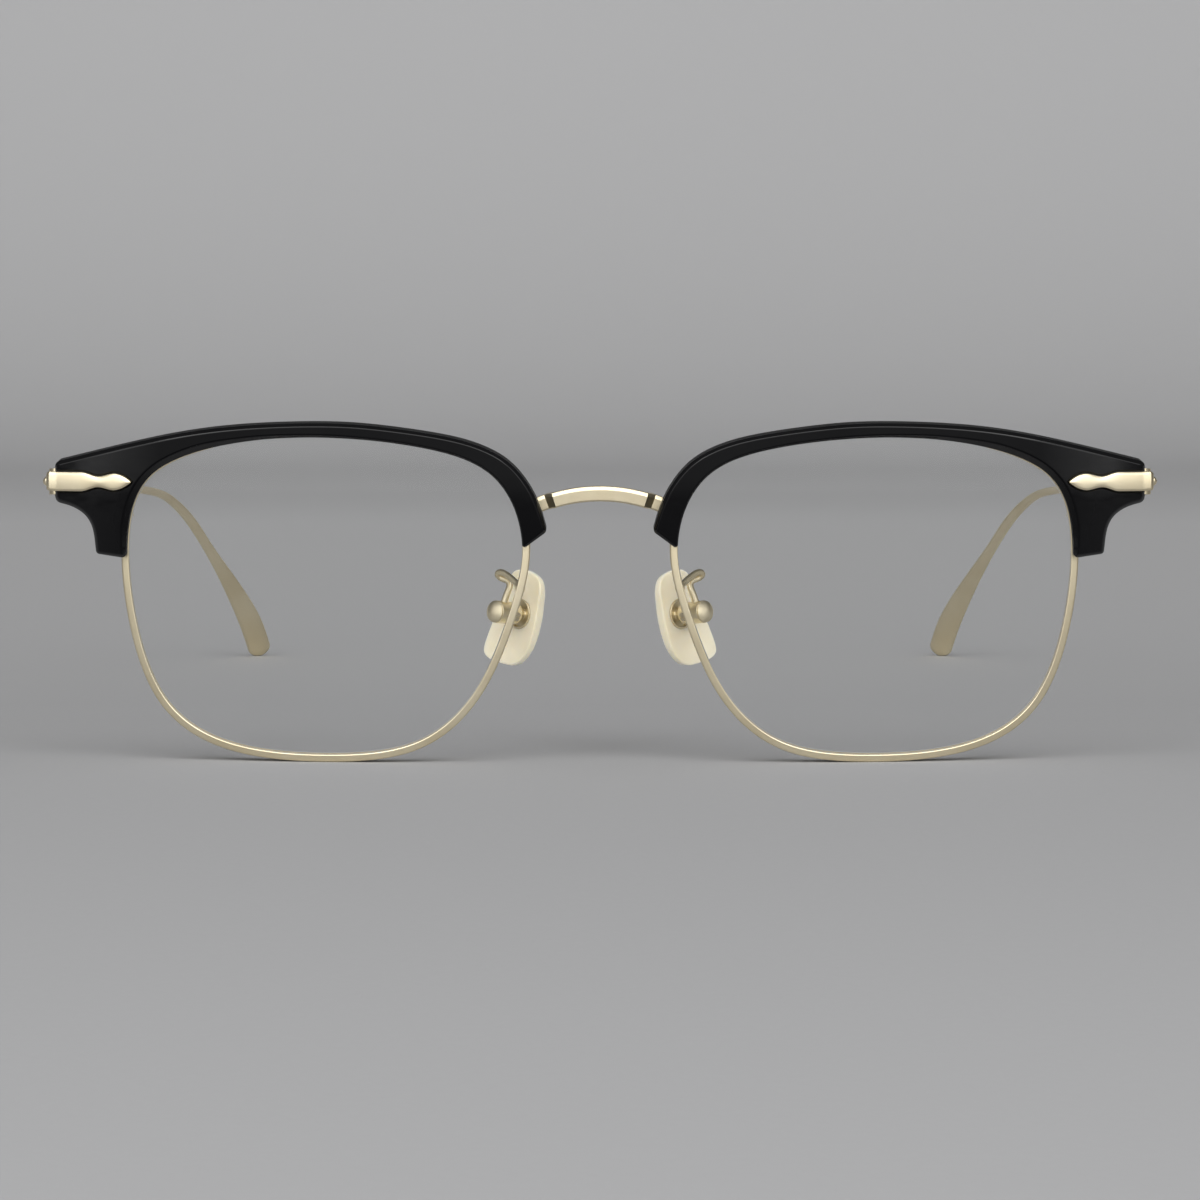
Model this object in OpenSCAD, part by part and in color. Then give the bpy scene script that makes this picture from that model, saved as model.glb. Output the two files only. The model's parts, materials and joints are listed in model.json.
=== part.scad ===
/* [Front] */
// Radius of the ball that both the lenses and the rims are bent to
base_radius = 130; // [110:5:180]
// Angle that each eye turns back towards its temple
wrap_angle = 4; // [2:0.5:6]
// Lean of the front, top edge forward, as the glasses stand
front_lean = 4; // [2:0.5:6]
// Angle between the front and a square to the temples
pantoscopic_angle = 8; // [6:0.5:10]

/* [Rim and lens] */
// Width of the eye wire, seen from the front
rim_width = 1.0; // [0.9:0.05:1.2]
// Depth of the eye wire, front to back
rim_depth = 2.0; // [1.8:0.1:2.4]
// Thickness of the lens
lens_thickness = 1.6; // [1.2:0.1:1.8]
// Thickness of the bevel that sits in the groove of the rim
bevel_thickness = 1.0; // [0.8:0.05:1.0]

/* [Brow] */
// How far the brow stands in front of the lens surface
brow_front = 2.8; // [2.6:0.1:3.2]
// How far the brow reaches behind the lens surface
brow_back = 0.4; // [0.3:0.05:0.4]
// Depth of the recess that the arrow plate lies in
recess_depth = 0.4; // [0.2:0.1:0.5]

/* [End piece and hinge] */
// Height of the arrow plate and of the band that wraps the end of the brow
band_height = 2.44; // [2.2:0.04:2.6]
// Thickness of that band
band_thickness = 0.9; // [0.7:0.1:0.9]
// Outside radius of the hinge barrel
barrel_radius = 1.15; // [1.0:0.05:1.2]
// Height of the whole hinge barrel
barrel_height = 3.4; // [3.2:0.1:3.8]
// Height of the temple's knuckle, in the middle of the barrel
knuckle_height = 1.2; // [1.0:0.1:1.4]
// Radius of the hinge screw
hinge_pin_radius = 0.45; // [0.4:0.05:0.5]
// Gap round a turning pin
running_gap = 0.04; // [0.02:0.01:0.08]

/* [Temple] */
// Thickness of the wire along the temple's middle
wire_thickness = 1.2; // [1.0:0.1:1.5]
// Height of the temple where it meets the hinge
temple_front_height = 2.4; // [2.0:0.1:2.4]
// Width of the flat tip
tip_width = 3.7; // [3.0:0.1:4.2]
// Thickness of the flat tip
tip_thickness = 1.0; // [0.8:0.1:1.2]

/* [Nose pads] */
// Height of a nose pad
pad_height = 12.9; // [12:0.1:14]
// Width of a nose pad
pad_width = 7.8; // [7.2:0.1:8.2]
// Thickness of a pad in its middle
pad_thickness = 1.75; // [1.6:0.05:2]
// Turn of a pad about the upright
pad_splay = 46; // [44:1:48]
// Lean of a pad, lower end outward
pad_lean = 16; // [14:1:18]
// Thickness of the pad's arm
arm_thickness = 0.86; // [0.8:0.02:1.0]
// Radius of the round box that holds the pad
pad_box_radius = 1.45; // [1.4:0.05:1.6]

/* [Hidden] */

$fn = 48;
ball_fn = 240;
gold = [0.86, 0.78, 0.60];
steel = [0.80, 0.76, 0.68];
black = [0.05, 0.05, 0.06];
clear = [0.85, 0.92, 0.95, 0.35];
cream = [0.92, 0.88, 0.76, 0.8];

// Depth from the lens surface at the middle of an eye to the middle of the whole
box_centre = 66.90;
// How far the rims would hang below the table
rim_drop = 0.06;
// Middle of an eye: across, and above the lowest point of the rims
eye_middle = [34.8, 21.5];
// Centre of the ball, in the frame of the front: across, back, up
ball_centre = [eye_middle[0] - base_radius * sin(wrap_angle),
               base_radius * cos(wrap_angle), eye_middle[1]];

// Points on the middle line of the eye wire, from the top towards the nose
eye_points = [
    [34.2, 43.0], [22.3, 41.7], [13.1, 37.7], [9.5, 28.8], [11.4, 19.1],
    [15.8, 9.2], [23.8, 2.2], [35.6, 0.5], [47.8, 1.7], [56.9, 7.6],
    [60.9, 19.3], [61.3, 30.5], [57.2, 38.3], [46.3, 42.2]
];
eye_steps = 8;

// Stretch of the eye wire that the brow covers, as places along eye_points
brow_from = 10.69;
brow_to = 17.02;
brow_edge_step = 0.11;
// Top edge of the brow from the nose outward, and the edge under its outer end
brow_top = [
    [7.05, 31.4], [7.7, 33.5], [9.0, 36.2], [11.6, 39.3], [15.4, 41.45], [20.6, 42.85],
    [28.3, 43.95], [36.0, 44.35], [46.4, 43.85], [57.0, 42.15], [69.6, 38.9]
];
brow_under = [[69.9, 33.3], [68.2, 32.85], [66.5, 31.75], [65.6, 30.0], [65.3, 27.9]];
brow_end = 70.7;

// Hinge centre in the frame of the front
hinge_place = [71.0, 11.0, 35.43];
// Band, measured from the hinge: its outer face, and how far ahead its corner lies
band_face = 0.85;
band_reach = 5.05;
rivet_ahead = 3.4;
rivet_radius = 0.4;
rivet_dome = 0.62;
// Arrow plate: half widths at places along its length, from the band to the point
plate_place = [71.0, 36.15];
plate_slope = -1.8;
plate_tip = 10.6;
plate_stand = 0.5;
post_radius = 0.85;
post_foot = 0.9;
screw_place = [66.3, 36.3];
tab_screw_place = [8.35, 30.55];
tab_thickness = 0.8;
tab_outline = [[7.0, 30.35], [7.35, 29.8], [9.45, 28.2], [9.6, 28.2], [10.4, 31.35], [7.4, 31.35]];
// Gaps round metal let into the brow
let_in_gap = 0.05;
recess_gap = 0.15;

// Lock that closes the rim, behind the brow's outer leg
lock_gap = 0.3;
lock_level = 33.2;
lock_block = [3.3, 1.85];
lock_inner = 60.8;
lock_back = 8.7;
lock_pin = [62.8, 7.65];
lock_arm = [[60.8, 34.2], [62.6, 34.2], [67.4, 35.0], [67.9, 36.3], [67.4, 37.6], [60.8, 37.4]];

// Screws: rods, the gap round them, and heads as radius and height
small_pin = 0.45;
fine_pin = 0.35;
pin_gap = 0.02;
slot_width = 0.24;
plate_head = [0.9, 0.4];
tab_head = [0.8, 0.35];
lock_head = [0.8, 0.4];
hinge_head = [0.8, 0.28];
pad_head = [0.6, 0.45];

// Middle of the pad's cup, in the frame of the front, and the pin's distance from it
pad_place = [10.58, 6.5, 18.6];
pad_pivot = 2.2;
// Round box: where it starts and ends, its bulged end and its bore
box_start = 0.8;
box_end = 4.5;
box_bulge = 0.75;
box_ball = 1.95;
box_bore = 1.02;
cup_radius = 1.95;
cup_depth = 0.6;
cup_lip = 0.15;
core_post = 0.8;
// Middle of the pad beside its cup, and the bend of the side that lies on the nose
pad_middle = [0.6, -0.7];
pad_crown = 30;
// Outline of a pad as shares of its half width and half height
pad_shape = [
    [-0.08, 1], [0.33, 0.975], [0.63, 0.87], [0.75, 0.66], [0.84, 0.15], [0.93, -0.24],
    [1, -0.6], [1, -0.84], [0.85, -0.96], [0.46, -1], [-0.1, -0.975], [-0.47, -0.93],
    [-0.77, -0.79], [-0.95, -0.55], [-1, -0.28], [-0.96, 0.13], [-0.88, 0.42], [-0.82, 0.65],
    [-0.69, 0.85], [-0.46, 0.96]
];
// Route of the pad's arm from the back of the rim to the top of the box
arm_route = [
    [10.3, 1.5, 22.6], [10.8, 2.6, 23.2], [11.8, 4.0, 23.9], [12.8, 5.1, 24.3],
    [13.3, 5.6, 24.0], [12.9, 5.7, 23.5], [12.1, 5.4, 23.2], [11.75, 5.0, 22.6],
    [12.1, 4.5, 21.6], [12.55, 4.05, 20.31]
];

// Route of a temple from its hinge: across (inward is less), back, up
temple_route = [
    [0, 5, 0], [0, 24, 0], [0, 43, 0], [0, 62, 0], [-0.1, 79, 0], [-0.8, 90, -0.1],
    [-2.4, 97.3, -0.6], [-4.0, 102.7, -2.0], [-6.0, 107.4, -4.7], [-8.1, 112.3, -8.7],
    [-10.2, 117.2, -12.9], [-12.2, 122.0, -17.2], [-13.8, 126.6, -21.4], [-14.8, 130.5, -25.4]
];
// Direction of the flat tip's width
tip_width_way = [-0.88, 0, 0.47];

// Smooth curves through points, with the same bend on both sides of each point
function wrapped(i, n) = (i % n + n) % n;
function slopes(p, closed, rounds = 14) =
    let (n = len(p))
    rounds == 0
    ? [for (i = [0 : n - 1])
        closed ? (p[wrapped(i + 1, n)] - p[wrapped(i - 1, n)]) / 2
               : (p[min(i + 1, n - 1)] - p[max(i - 1, 0)]) / (i == 0 || i == n - 1 ? 1 : 2)]
    : let (m = slopes(p, closed, rounds - 1))
      [for (i = [0 : n - 1])
        closed ? (3 * (p[wrapped(i + 1, n)] - p[wrapped(i - 1, n)])
                  - m[wrapped(i + 1, n)] - m[wrapped(i - 1, n)]) / 4
        : i == 0 ? (3 * (p[1] - p[0]) - m[1]) / 2
        : i == n - 1 ? (3 * (p[n - 1] - p[n - 2]) - m[n - 2]) / 2
        : (3 * (p[i + 1] - p[i - 1]) - m[i + 1] - m[i - 1]) / 4];
function along(p, m, place, closed) =
    let (n = len(p),
         i = closed ? wrapped(floor(place), n) : min(floor(place), n - 2),
         j = closed ? wrapped(i + 1, n) : i + 1,
         t = closed ? place - floor(place) : place - i)
    p[i] * (1 + 2 * t) * pow(1 - t, 2) + p[j] * t * t * (3 - 2 * t)
    + m[i] * t * pow(1 - t, 2) - m[j] * t * t * (1 - t);
function curve(p, steps, closed) =
    let (m = slopes(p, closed), last = closed ? len(p) * steps - 1 : (len(p) - 1) * steps)
    [for (k = [0 : last]) along(p, m, k / steps, closed)];
function unit(v) = v / norm(v);
function mix(a, b, t) = a + (b - a) * t;
function ramp(x, from, to) = let (t = max(0, min(1, (x - from) / (to - from)))) t * t * (3 - 2 * t);

// Outline moved sideways by an amount, outward for an outline that runs anticlockwise
function sideways(way) = [way[1], -way[0]];
function grown(p, amount) =
    let (n = len(p))
    [for (i = [0 : n - 1])
        p[i] + amount * unit(sideways(p[wrapped(i + 1, n)] - p[wrapped(i - 1, n)]))];

// Arc that rounds the corner at b between a and c
function corner(a, b, c, r, steps = 6) =
    let (u = unit(a - b), v = unit(c - b),
         half = acos(u * v) / 2,
         middle = b + unit(u + v) * r / sin(half),
         from = b + u * r / tan(half) - middle,
         to = b + v * r / tan(half) - middle,
         start = atan2(from[1], from[0]),
         turn = atan2(from[0] * to[1] - from[1] * to[0], from * to))
    [for (k = [0 : steps]) middle + r * [cos(start + turn * k / steps), sin(start + turn * k / steps)]];

eye_slopes = slopes(eye_points, true);
eye_line = curve(eye_points, eye_steps, true);
function eye_outline(amount) = grown(eye_line, amount);
function eye_edge(place, amount) =
    let (d = 0.01,
         way = along(eye_points, eye_slopes, place + d, true)
             - along(eye_points, eye_slopes, place - d, true))
    along(eye_points, eye_slopes, place, true) + amount * unit(sideways(way));

nose_tip = [9.75, 28.4];
nose_corner = [6.8, 30.5];
top_corner = [brow_end, 38.6];
low_corner = [brow_end, 33.5];
leg_outer = [65.2, 27.0];
leg_inner = [61.1, 26.55];
brow_outline = concat(
    [for (s = [brow_from : brow_edge_step : brow_to]) eye_edge(s, -rim_width / 2 + 0.02)],
    corner([9.9, 29.4], nose_tip, nose_corner, 0.2, 3),
    corner(nose_tip, nose_corner, brow_top[0], 0.6),
    curve(brow_top, 6, false),
    corner(brow_top[10], top_corner, low_corner, 0.85),
    corner(top_corner, low_corner, brow_under[0], 0.85),
    curve(brow_under, 5, false),
    corner(brow_under[4], leg_outer, leg_inner, 0.45),
    corner(leg_outer, leg_inner, [61.1, 28], 0.3, 3));

// Half width of the arrow plate at a distance from the band's end
shoulder_at = 3.9;
waist_at = 6.2;
lobe_at = 8.3;
function plate_half(x) =
    let (band = band_height / 2, waist = 0.68, lobe = 1.06)
    x < shoulder_at ? band
    : x < waist_at ? mix(band, waist, ramp(x, shoulder_at, waist_at))
    : x < lobe_at ? mix(waist, lobe, ramp(x, waist_at, lobe_at))
    : lobe * sqrt(max(0, 1 - pow((x - lobe_at) / (plate_tip - lobe_at), 1.6)));
plate_side = concat([[0, band_height / 2]],
    [for (x = [shoulder_at : 0.3 : plate_tip - 0.2]) [x, plate_half(x)]], [[plate_tip, 0]]);
plate_outline = [for (p = concat(plate_side, [for (i = [len(plate_side) - 2 : -1 : 0])
    [plate_side[i][0], -plate_side[i][1]]]))
    plate_place + [-p[0] * cos(plate_slope) + p[1] * sin(plate_slope),
                   -p[0] * sin(plate_slope) + p[1] * cos(plate_slope)]];

// Frames: the whole front, its left or right half, its ball, its hinge and its pad
module front(side = 1)
    translate([0, -box_centre, -rim_drop]) rotate([front_lean, 0, 0])
        mirror([side < 0 ? 1 : 0, 0, 0]) children();
module hinge_frame() translate(hinge_place) rotate([-pantoscopic_angle, 0, 0]) children();
module pad_frame() translate(pad_place) rotate([0, -pad_lean, 0]) rotate([0, 0, -pad_splay]) children();

// Children stand square to the ball at a place of the lens surface, their +Z pointing forward
module on_ball(place, ahead) {
    across = place[0] - ball_centre[0];
    up = place[1] - ball_centre[2];
    way = [across, -sqrt(pow(base_radius, 2) - across * across - up * up), up] / base_radius;
    translate(ball_centre + (base_radius + ahead) * way)
        rotate([0, acos(way[2]), atan2(way[1], way[0])]) children();
}

// Ball surface ahead of (or, below zero, behind) the middle of the lens
module ball(ahead) translate(ball_centre) sphere(r = base_radius + ahead, $fn = ball_fn);
module upright_prism(outline)
    translate([0, 40, 0]) rotate([90, 0, 0]) linear_extrude(60) polygon(outline);
// Plate bent to the ball: an outline of the front between two ball surfaces
module bent_plate(outline, ahead, behind)
    difference() {
        intersection() {
            upright_prism(outline);
            ball(ahead);
        }
        ball(behind);
    }

// Closed tube through rings of points
module through_rings(rings) {
    n = len(rings[0]);
    last = len(rings) - 1;
    sides = [for (r = [0 : last - 1], k = [0 : n - 1], half = [0, 1])
        let (a = r * n + k, b = r * n + (k + 1) % n)
        half == 0 ? [a, b, b + n] : [a, b + n, a + n]];
    ends = [[for (k = [n - 1 : -1 : 0]) k], [for (k = [0 : n - 1]) last * n + k]];
    polyhedron([for (ring = rings) each ring], concat(sides, ends), convexity = 6);
}
// Ring round a route: width and thickness along two square directions
function ring_at(place, way, width_way, width, thick, square, count) =
    let (w = unit(width_way - way * (width_way * way)), t = cross(way, w), e = 2 / square)
    [for (k = [0 : count - 1])
        let (a = -360 * k / count, c = cos(a), s = sin(a))
        place + w * width / 2 * sign(c) * pow(abs(c), e)
              + t * thick / 2 * sign(s) * pow(abs(s), e)];

module lens(side) color(clear) front(side) {
    bent_plate(eye_outline(-rim_width / 2 - 0.05), lens_thickness / 2, -lens_thickness / 2);
    bent_plate(eye_outline(-0.08), bevel_thickness / 2, -bevel_thickness / 2);
}

module rim(side) color(gold) front(side)
    difference() {
        bent_plate(eye_outline(rim_width / 2), rim_depth / 2, -rim_depth / 2);
        upright_prism(eye_outline(-rim_width / 2));
        bent_plate(eye_outline(-0.02), bevel_thickness / 2 + 0.05, -bevel_thickness / 2 - 0.05);
        translate([lock_inner - 2, 0, lock_level - lock_gap / 2]) cube([6, 12, lock_gap]);
    }

module bridge() color(gold) front() {
    peak = 36.15;
    tall = 1.95;
    arch_radius = 21;
    reach = 10.6;
    arch = [for (a = [-30 : 2 : 30]) [arch_radius * sin(a), peak - arch_radius * (1 - cos(a))]];
    face = concat(arch, [for (i = [len(arch) - 1 : -1 : 0]) arch[i] - [0, tall]]);
    // Seen from above, the arch stands forward and steps back to two ends behind the brows
    half_plan = [[6.2, 0.3], [7.05, 1.42], [reach, 1.42], [reach, 2.5], [6.7, 2.5], [5.8, 1.4]];
    plan = concat([[0, 0.1]], half_plan, [[0, 1.2]],
        [for (i = [len(half_plan) - 1 : -1 : 0]) [-half_plan[i][0], half_plan[i][1]]]);
    difference() {
        intersection() {
            translate([0, 10, 0]) rotate([90, 0, 0]) linear_extrude(20) polygon(face);
            linear_extrude(50) polygon(plan);
        }
        for (m = [0, 1]) mirror([m, 0, 0]) {
            upright_prism(eye_outline(rim_width / 2));
            bent_plate(grown(brow_outline, -0.03), brow_front, -brow_back - 0.02);
        }
    }
}

module brow(side) color(black) front(side)
    difference() {
        bent_plate(brow_outline, brow_front, -brow_back);
        // Rebate that the eye wire lies in
        intersection() {
            upright_prism(eye_outline(rim_width / 2 + 0.06));
            ball(rim_depth / 2 + let_in_gap);
        }
        bent_plate(grown(plate_outline, recess_gap), brow_front + 1, brow_front - recess_depth);
        hinge_frame() wrap_corner(let_in_gap);
        on_ball(screw_place, -1) cylinder(r = post_radius + let_in_gap, h = brow_front + 0.8);
        on_ball(tab_screw_place, -1) cylinder(r = small_pin + pin_gap, h = 2.6);
        hinge_frame() across_band(rivet_radius + 0.07, -3, 1);
    }

// Rounded front corner of the band that wraps the brow's outer end
module wrap_corner(gap)
    translate([band_face - band_thickness, -band_reach, -band_height / 2 - gap])
        cylinder(r = band_thickness + gap, h = band_height + 2 * gap);

// Rod through the band and into the brow's end, between two places across
module across_band(r, from, to)
    translate([from, -rivet_ahead, 0]) rotate([0, 90, 0]) cylinder(r = r, h = to - from);

module end_piece(side) color(gold) front(side)
    difference() {
        union() {
            bent_plate(plate_outline, brow_front + plate_stand, brow_front - recess_depth + 0.02);
            on_ball(screw_place, post_foot) cylinder(r = post_radius, h = brow_front - post_foot);
            hinge_frame() {
                wrap_corner(0);
                translate([band_face - band_thickness, -band_reach, -band_height / 2])
                    cube([band_thickness, band_reach, band_height]);
                for (z = [-barrel_height / 2, knuckle_height / 2 + let_in_gap])
                    translate([0, 0, z])
                        cylinder(r = barrel_radius, h = (barrel_height - knuckle_height) / 2 - let_in_gap);
            }
        }
        on_ball(screw_place, 0) cylinder(r = small_pin + pin_gap, h = 2.3);
        hinge_frame() {
            translate([0, 0, -knuckle_height / 2 - let_in_gap])
                cylinder(r = barrel_radius + 0.15, h = knuckle_height + 2 * let_in_gap);
            translate([0, 0, -barrel_height]) cylinder(r = hinge_pin_radius + pin_gap, h = 2 * barrel_height);
            translate([0, 0, barrel_height / 2 - hinge_head[1] - pin_gap])
                cylinder(r = hinge_head[0] + pin_gap, h = 1);
            across_band(rivet_radius + pin_gap, -3, 1);
        }
    }

module end_rivet(side) color(gold) front(side) hinge_frame() {
    across_band(rivet_radius, -2.6, band_face + rivet_dome / 2);
    intersection() {
        translate([band_face + 0.03, -rivet_ahead, 0]) sphere(r = rivet_dome);
        translate([band_face, -rivet_ahead - 1, -1]) cube(2);
    }
}

module end_screw(side) color(steel) front(side) on_ball(screw_place, -1.28) {
    cylinder(r = small_pin, h = 3.4);
    translate([0, 0, -plate_head[1]]) slotted_head(plate_head);
}

module brow_tab(side) color(gold) front(side)
    difference() {
        bent_plate(tab_outline, -brow_back - 0.02, -brow_back - tab_thickness);
        upright_prism(eye_outline(rim_width / 2));
        on_ball(tab_screw_place, -3) cylinder(r = small_pin + pin_gap, h = 6);
    }

module brow_screw(side) color(steel) front(side)
    on_ball(tab_screw_place, -brow_back - tab_thickness - 0.03) {
        cylinder(r = small_pin, h = 2.4);
        translate([0, 0, -tab_head[1]]) slotted_head(tab_head);
    }

// Screw head, given as radius and height, whose slot is cut across its back face
module slotted_head(head)
    difference() {
        cylinder(r = head[0], h = head[1]);
        translate([-head[0], -slot_width / 2, -0.01]) cube([2 * head[0], slot_width, head[1] / 2]);
    }

module lock_half(low)
    intersection() {
        translate([lock_inner, 4, low]) cube([lock_block[0], lock_back - 4, lock_block[1]]);
        ball(-rim_depth / 2);
    }

module lock_upper(side) color(gold) front(side)
    difference() {
        union() {
            lock_half(lock_level + lock_gap / 2);
            bent_plate(lock_arm, -brow_back - 0.02, -1.25);
        }
        // Space of the eye wire itself, ahead of the surface that the lock is soldered to
        difference() {
            upright_prism(eye_outline(rim_width / 2));
            ball(-rim_depth / 2);
        }
        translate([lock_pin[0], lock_pin[1], 30]) cylinder(r = small_pin + pin_gap, h = 5);
        on_ball(screw_place, -4) cylinder(r = small_pin + pin_gap, h = 6);
    }

module lock_lower(side) color(gold) front(side)
    difference() {
        lock_half(lock_level - lock_gap / 2 - lock_block[1]);
        translate([lock_pin[0], lock_pin[1], 28]) cylinder(r = small_pin + let_in_gap, h = 7);
    }

module lock_screw(side) color(steel) front(side)
    translate([lock_pin[0], lock_pin[1], lock_level - lock_gap / 2 - lock_block[1]]) {
        cylinder(r = small_pin, h = 3.5);
        translate([0, 0, -lock_head[1]]) slotted_head(lock_head);
    }

module hinge_screw(side) color(steel) front(side) hinge_frame() {
    translate([0, 0, -barrel_height / 2 - 0.15]) cylinder(r = hinge_pin_radius, h = barrel_height);
    translate([0, 0, barrel_height / 2]) mirror([0, 0, 1]) slotted_head(hinge_head);
}

module temple_hinge(side) color(gold) front(side) hinge_frame()
    difference() {
        union() {
            translate([0, 0, -knuckle_height / 2]) cylinder(r = barrel_radius, h = knuckle_height);
            translate([-0.5, 0, -knuckle_height / 2]) cube([1, 2, knuckle_height]);
            translate([-0.5, 1.4, -temple_front_height / 2]) cube([1, 3.6, temple_front_height]);
        }
        translate([0, 0, -barrel_height]) cylinder(r = hinge_pin_radius + running_gap, h = 2 * barrel_height);
    }

temple_steps = 4;
function temple_width(y) =
    y < 79 ? mix(temple_front_height, wire_thickness, ramp(y, 5, 38))
    : y < 112 ? mix(wire_thickness, 1.6, ramp(y, 96, 110))
    : mix(1.6, tip_width, ramp(y, 111, 128.5));
function temple_thick(y) =
    y < 79 ? mix(1.0, wire_thickness, ramp(y, 5, 38)) : mix(wire_thickness, tip_thickness, ramp(y, 100, 120));
// The last steps close the flat tip in a half round
tip_round = [0.97, 0.9, 0.78, 0.6, 0.32];

module temple(side) color(gold) front(side) hinge_frame() {
    line = curve(temple_route, temple_steps, false);
    last = len(line) - 1;
    rings = [for (i = [0 : last])
        let (way = unit(line[min(i + 1, last)] - line[max(i - 1, 0)]),
             y = line[i][1],
             width_way = mix([0, 0, 1], tip_width_way, ramp(y, 96, 116)),
             square = mix(5, 2.4, ramp(y, 5, 38)))
        ring_at(line[i], way, width_way, temple_width(y), temple_thick(y), square, 16)];
    end_way = unit(line[last] - line[last - 1]);
    tip = [for (k = [0 : len(tip_round) - 1])
        ring_at(line[last] + end_way * tip_width / 2 * sqrt(1 - pow(tip_round[k], 2)), end_way,
            tip_width_way, tip_width * tip_round[k], tip_thickness * (0.4 + 0.6 * tip_round[k]), 2.4, 16)];
    through_rings(concat(rings, tip));
}

module pad_arm(side) color(gold) front(side) {
    line = curve(arm_route, 4, false);
    last = len(line) - 1;
    through_rings([for (i = [0 : last])
        ring_at(line[i], unit(line[min(i + 1, last)] - line[max(i - 1, 0)]),
            [1, 0.2, 1], arm_thickness, arm_thickness, 2, 12)]);
}

// Rod along the pad's own axis, between two distances from the pad's face
module along_pad(r, from, to) translate([from, 0, 0]) rotate([0, 90, 0]) cylinder(r = r, h = to - from);
module pad_pin_hole(r) translate([pad_pivot, 0, 0]) rotate([90, 0, 0]) cylinder(r = r, h = 6, center = true);

module pad_box(side) color(gold) front(side) pad_frame()
    difference() {
        rotate([0, 90, 0]) {
            translate([0, 0, box_start]) cylinder(r = pad_box_radius, h = box_end - box_start);
            intersection() {
                translate([0, 0, box_end + box_bulge - box_ball]) sphere(r = box_ball);
                translate([0, 0, box_end - 0.4]) cylinder(r = pad_box_radius - 0.06, h = 2);
            }
        }
        rotate([0, 90, 0]) cylinder(r = box_bore, h = 3.6);
        pad_pin_hole(fine_pin + pin_gap);
    }

module pad_screw(side) color(steel) front(side) pad_frame()
    translate([pad_pivot, 0, 0]) rotate([90, 0, 0]) {
        translate([0, 0, -1.5]) cylinder(r = fine_pin, h = 3.1);
        translate([0, 0, 1.9]) mirror([0, 0, 1]) slotted_head(pad_head);
    }

// Metal core of a pad: a cup let into the pad, a post, and the tongue that the pin goes through
module pad_core(side) color(gold) front(side) pad_frame()
    difference() {
        union() {
            difference() {
                along_pad(cup_radius, -cup_depth, cup_lip);
                along_pad(cup_radius - 0.3, 0.25 - cup_depth, 1);
            }
            along_pad(core_post, -cup_depth - 0.35, 0.5);
            translate([0, -0.4, -0.6]) cube([pad_pivot + 0.1, 0.8, 1.2]);
            translate([pad_pivot, 0.4, 0]) rotate([90, 0, 0]) cylinder(r = 0.75, h = 0.8);
        }
        pad_pin_hole(fine_pin + running_gap);
    }

module nose_pad(side) color(cream) front(side) pad_frame()
    difference() {
        intersection() {
            rotate([90, 0, -90]) linear_extrude(3)
                polygon(curve([for (p = pad_shape) [-pad_middle[0] - p[0] * pad_width / 2,
                    pad_middle[1] + p[1] * pad_height / 2]], 4, true));
            translate([pad_crown - pad_thickness, pad_middle[0], pad_middle[1]])
                sphere(r = pad_crown, $fn = ball_fn);
        }
        along_pad(cup_radius + pin_gap, -cup_depth - pin_gap, 1);
        along_pad(core_post + pin_gap, -cup_depth - 0.4, 1);
    }

bridge();
lens(1);  // lens_left
lens(-1);  // lens_right
rim(1);  // rim_left
rim(-1);  // rim_right
lock_upper(1);  // lock_upper_left
lock_upper(-1);  // lock_upper_right
lock_lower(1);  // lock_lower_left
lock_lower(-1);  // lock_lower_right
lock_screw(1);  // lock_screw_left
lock_screw(-1);  // lock_screw_right
brow(1);  // brow_left
brow(-1);  // brow_right
brow_tab(1);  // brow_tab_left
brow_tab(-1);  // brow_tab_right
brow_screw(1);  // brow_screw_left
brow_screw(-1);  // brow_screw_right
end_piece(1);  // end_piece_left
end_piece(-1);  // end_piece_right
end_screw(1);  // end_screw_left
end_screw(-1);  // end_screw_right
end_rivet(1);  // end_rivet_left
end_rivet(-1);  // end_rivet_right
hinge_screw(1);  // hinge_screw_left
hinge_screw(-1);  // hinge_screw_right
temple_hinge(1);  // temple_hinge_left
temple_hinge(-1);  // temple_hinge_right
temple(1);  // temple_left
temple(-1);  // temple_right
pad_arm(1);  // pad_arm_left
pad_arm(-1);  // pad_arm_right
pad_box(1);  // pad_box_left
pad_box(-1);  // pad_box_right
pad_screw(1);  // pad_screw_left
pad_screw(-1);  // pad_screw_right
pad_core(1);  // pad_core_left
pad_core(-1);  // pad_core_right
nose_pad(1);  // nose_pad_left
nose_pad(-1);  // nose_pad_right
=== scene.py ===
import json
import math

import bmesh
import bpy
from mathutils import Matrix, Vector

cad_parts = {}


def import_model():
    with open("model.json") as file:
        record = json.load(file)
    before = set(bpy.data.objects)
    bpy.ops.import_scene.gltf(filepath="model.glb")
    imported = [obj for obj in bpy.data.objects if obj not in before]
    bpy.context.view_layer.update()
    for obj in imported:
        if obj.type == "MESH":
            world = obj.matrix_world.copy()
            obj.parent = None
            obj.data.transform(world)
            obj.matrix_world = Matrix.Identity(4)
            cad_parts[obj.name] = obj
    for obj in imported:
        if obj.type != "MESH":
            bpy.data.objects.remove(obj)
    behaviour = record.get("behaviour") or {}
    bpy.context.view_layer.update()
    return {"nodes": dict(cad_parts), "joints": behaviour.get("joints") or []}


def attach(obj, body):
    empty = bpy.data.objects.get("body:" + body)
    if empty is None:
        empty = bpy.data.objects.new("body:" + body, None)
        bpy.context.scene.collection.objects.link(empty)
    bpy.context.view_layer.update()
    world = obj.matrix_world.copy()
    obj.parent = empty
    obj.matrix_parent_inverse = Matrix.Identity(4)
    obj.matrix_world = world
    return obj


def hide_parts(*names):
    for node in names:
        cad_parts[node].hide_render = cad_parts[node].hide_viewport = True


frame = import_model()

mm = 0.001

# Frames: everything is drawn in millimetres in the front's own frame

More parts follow.
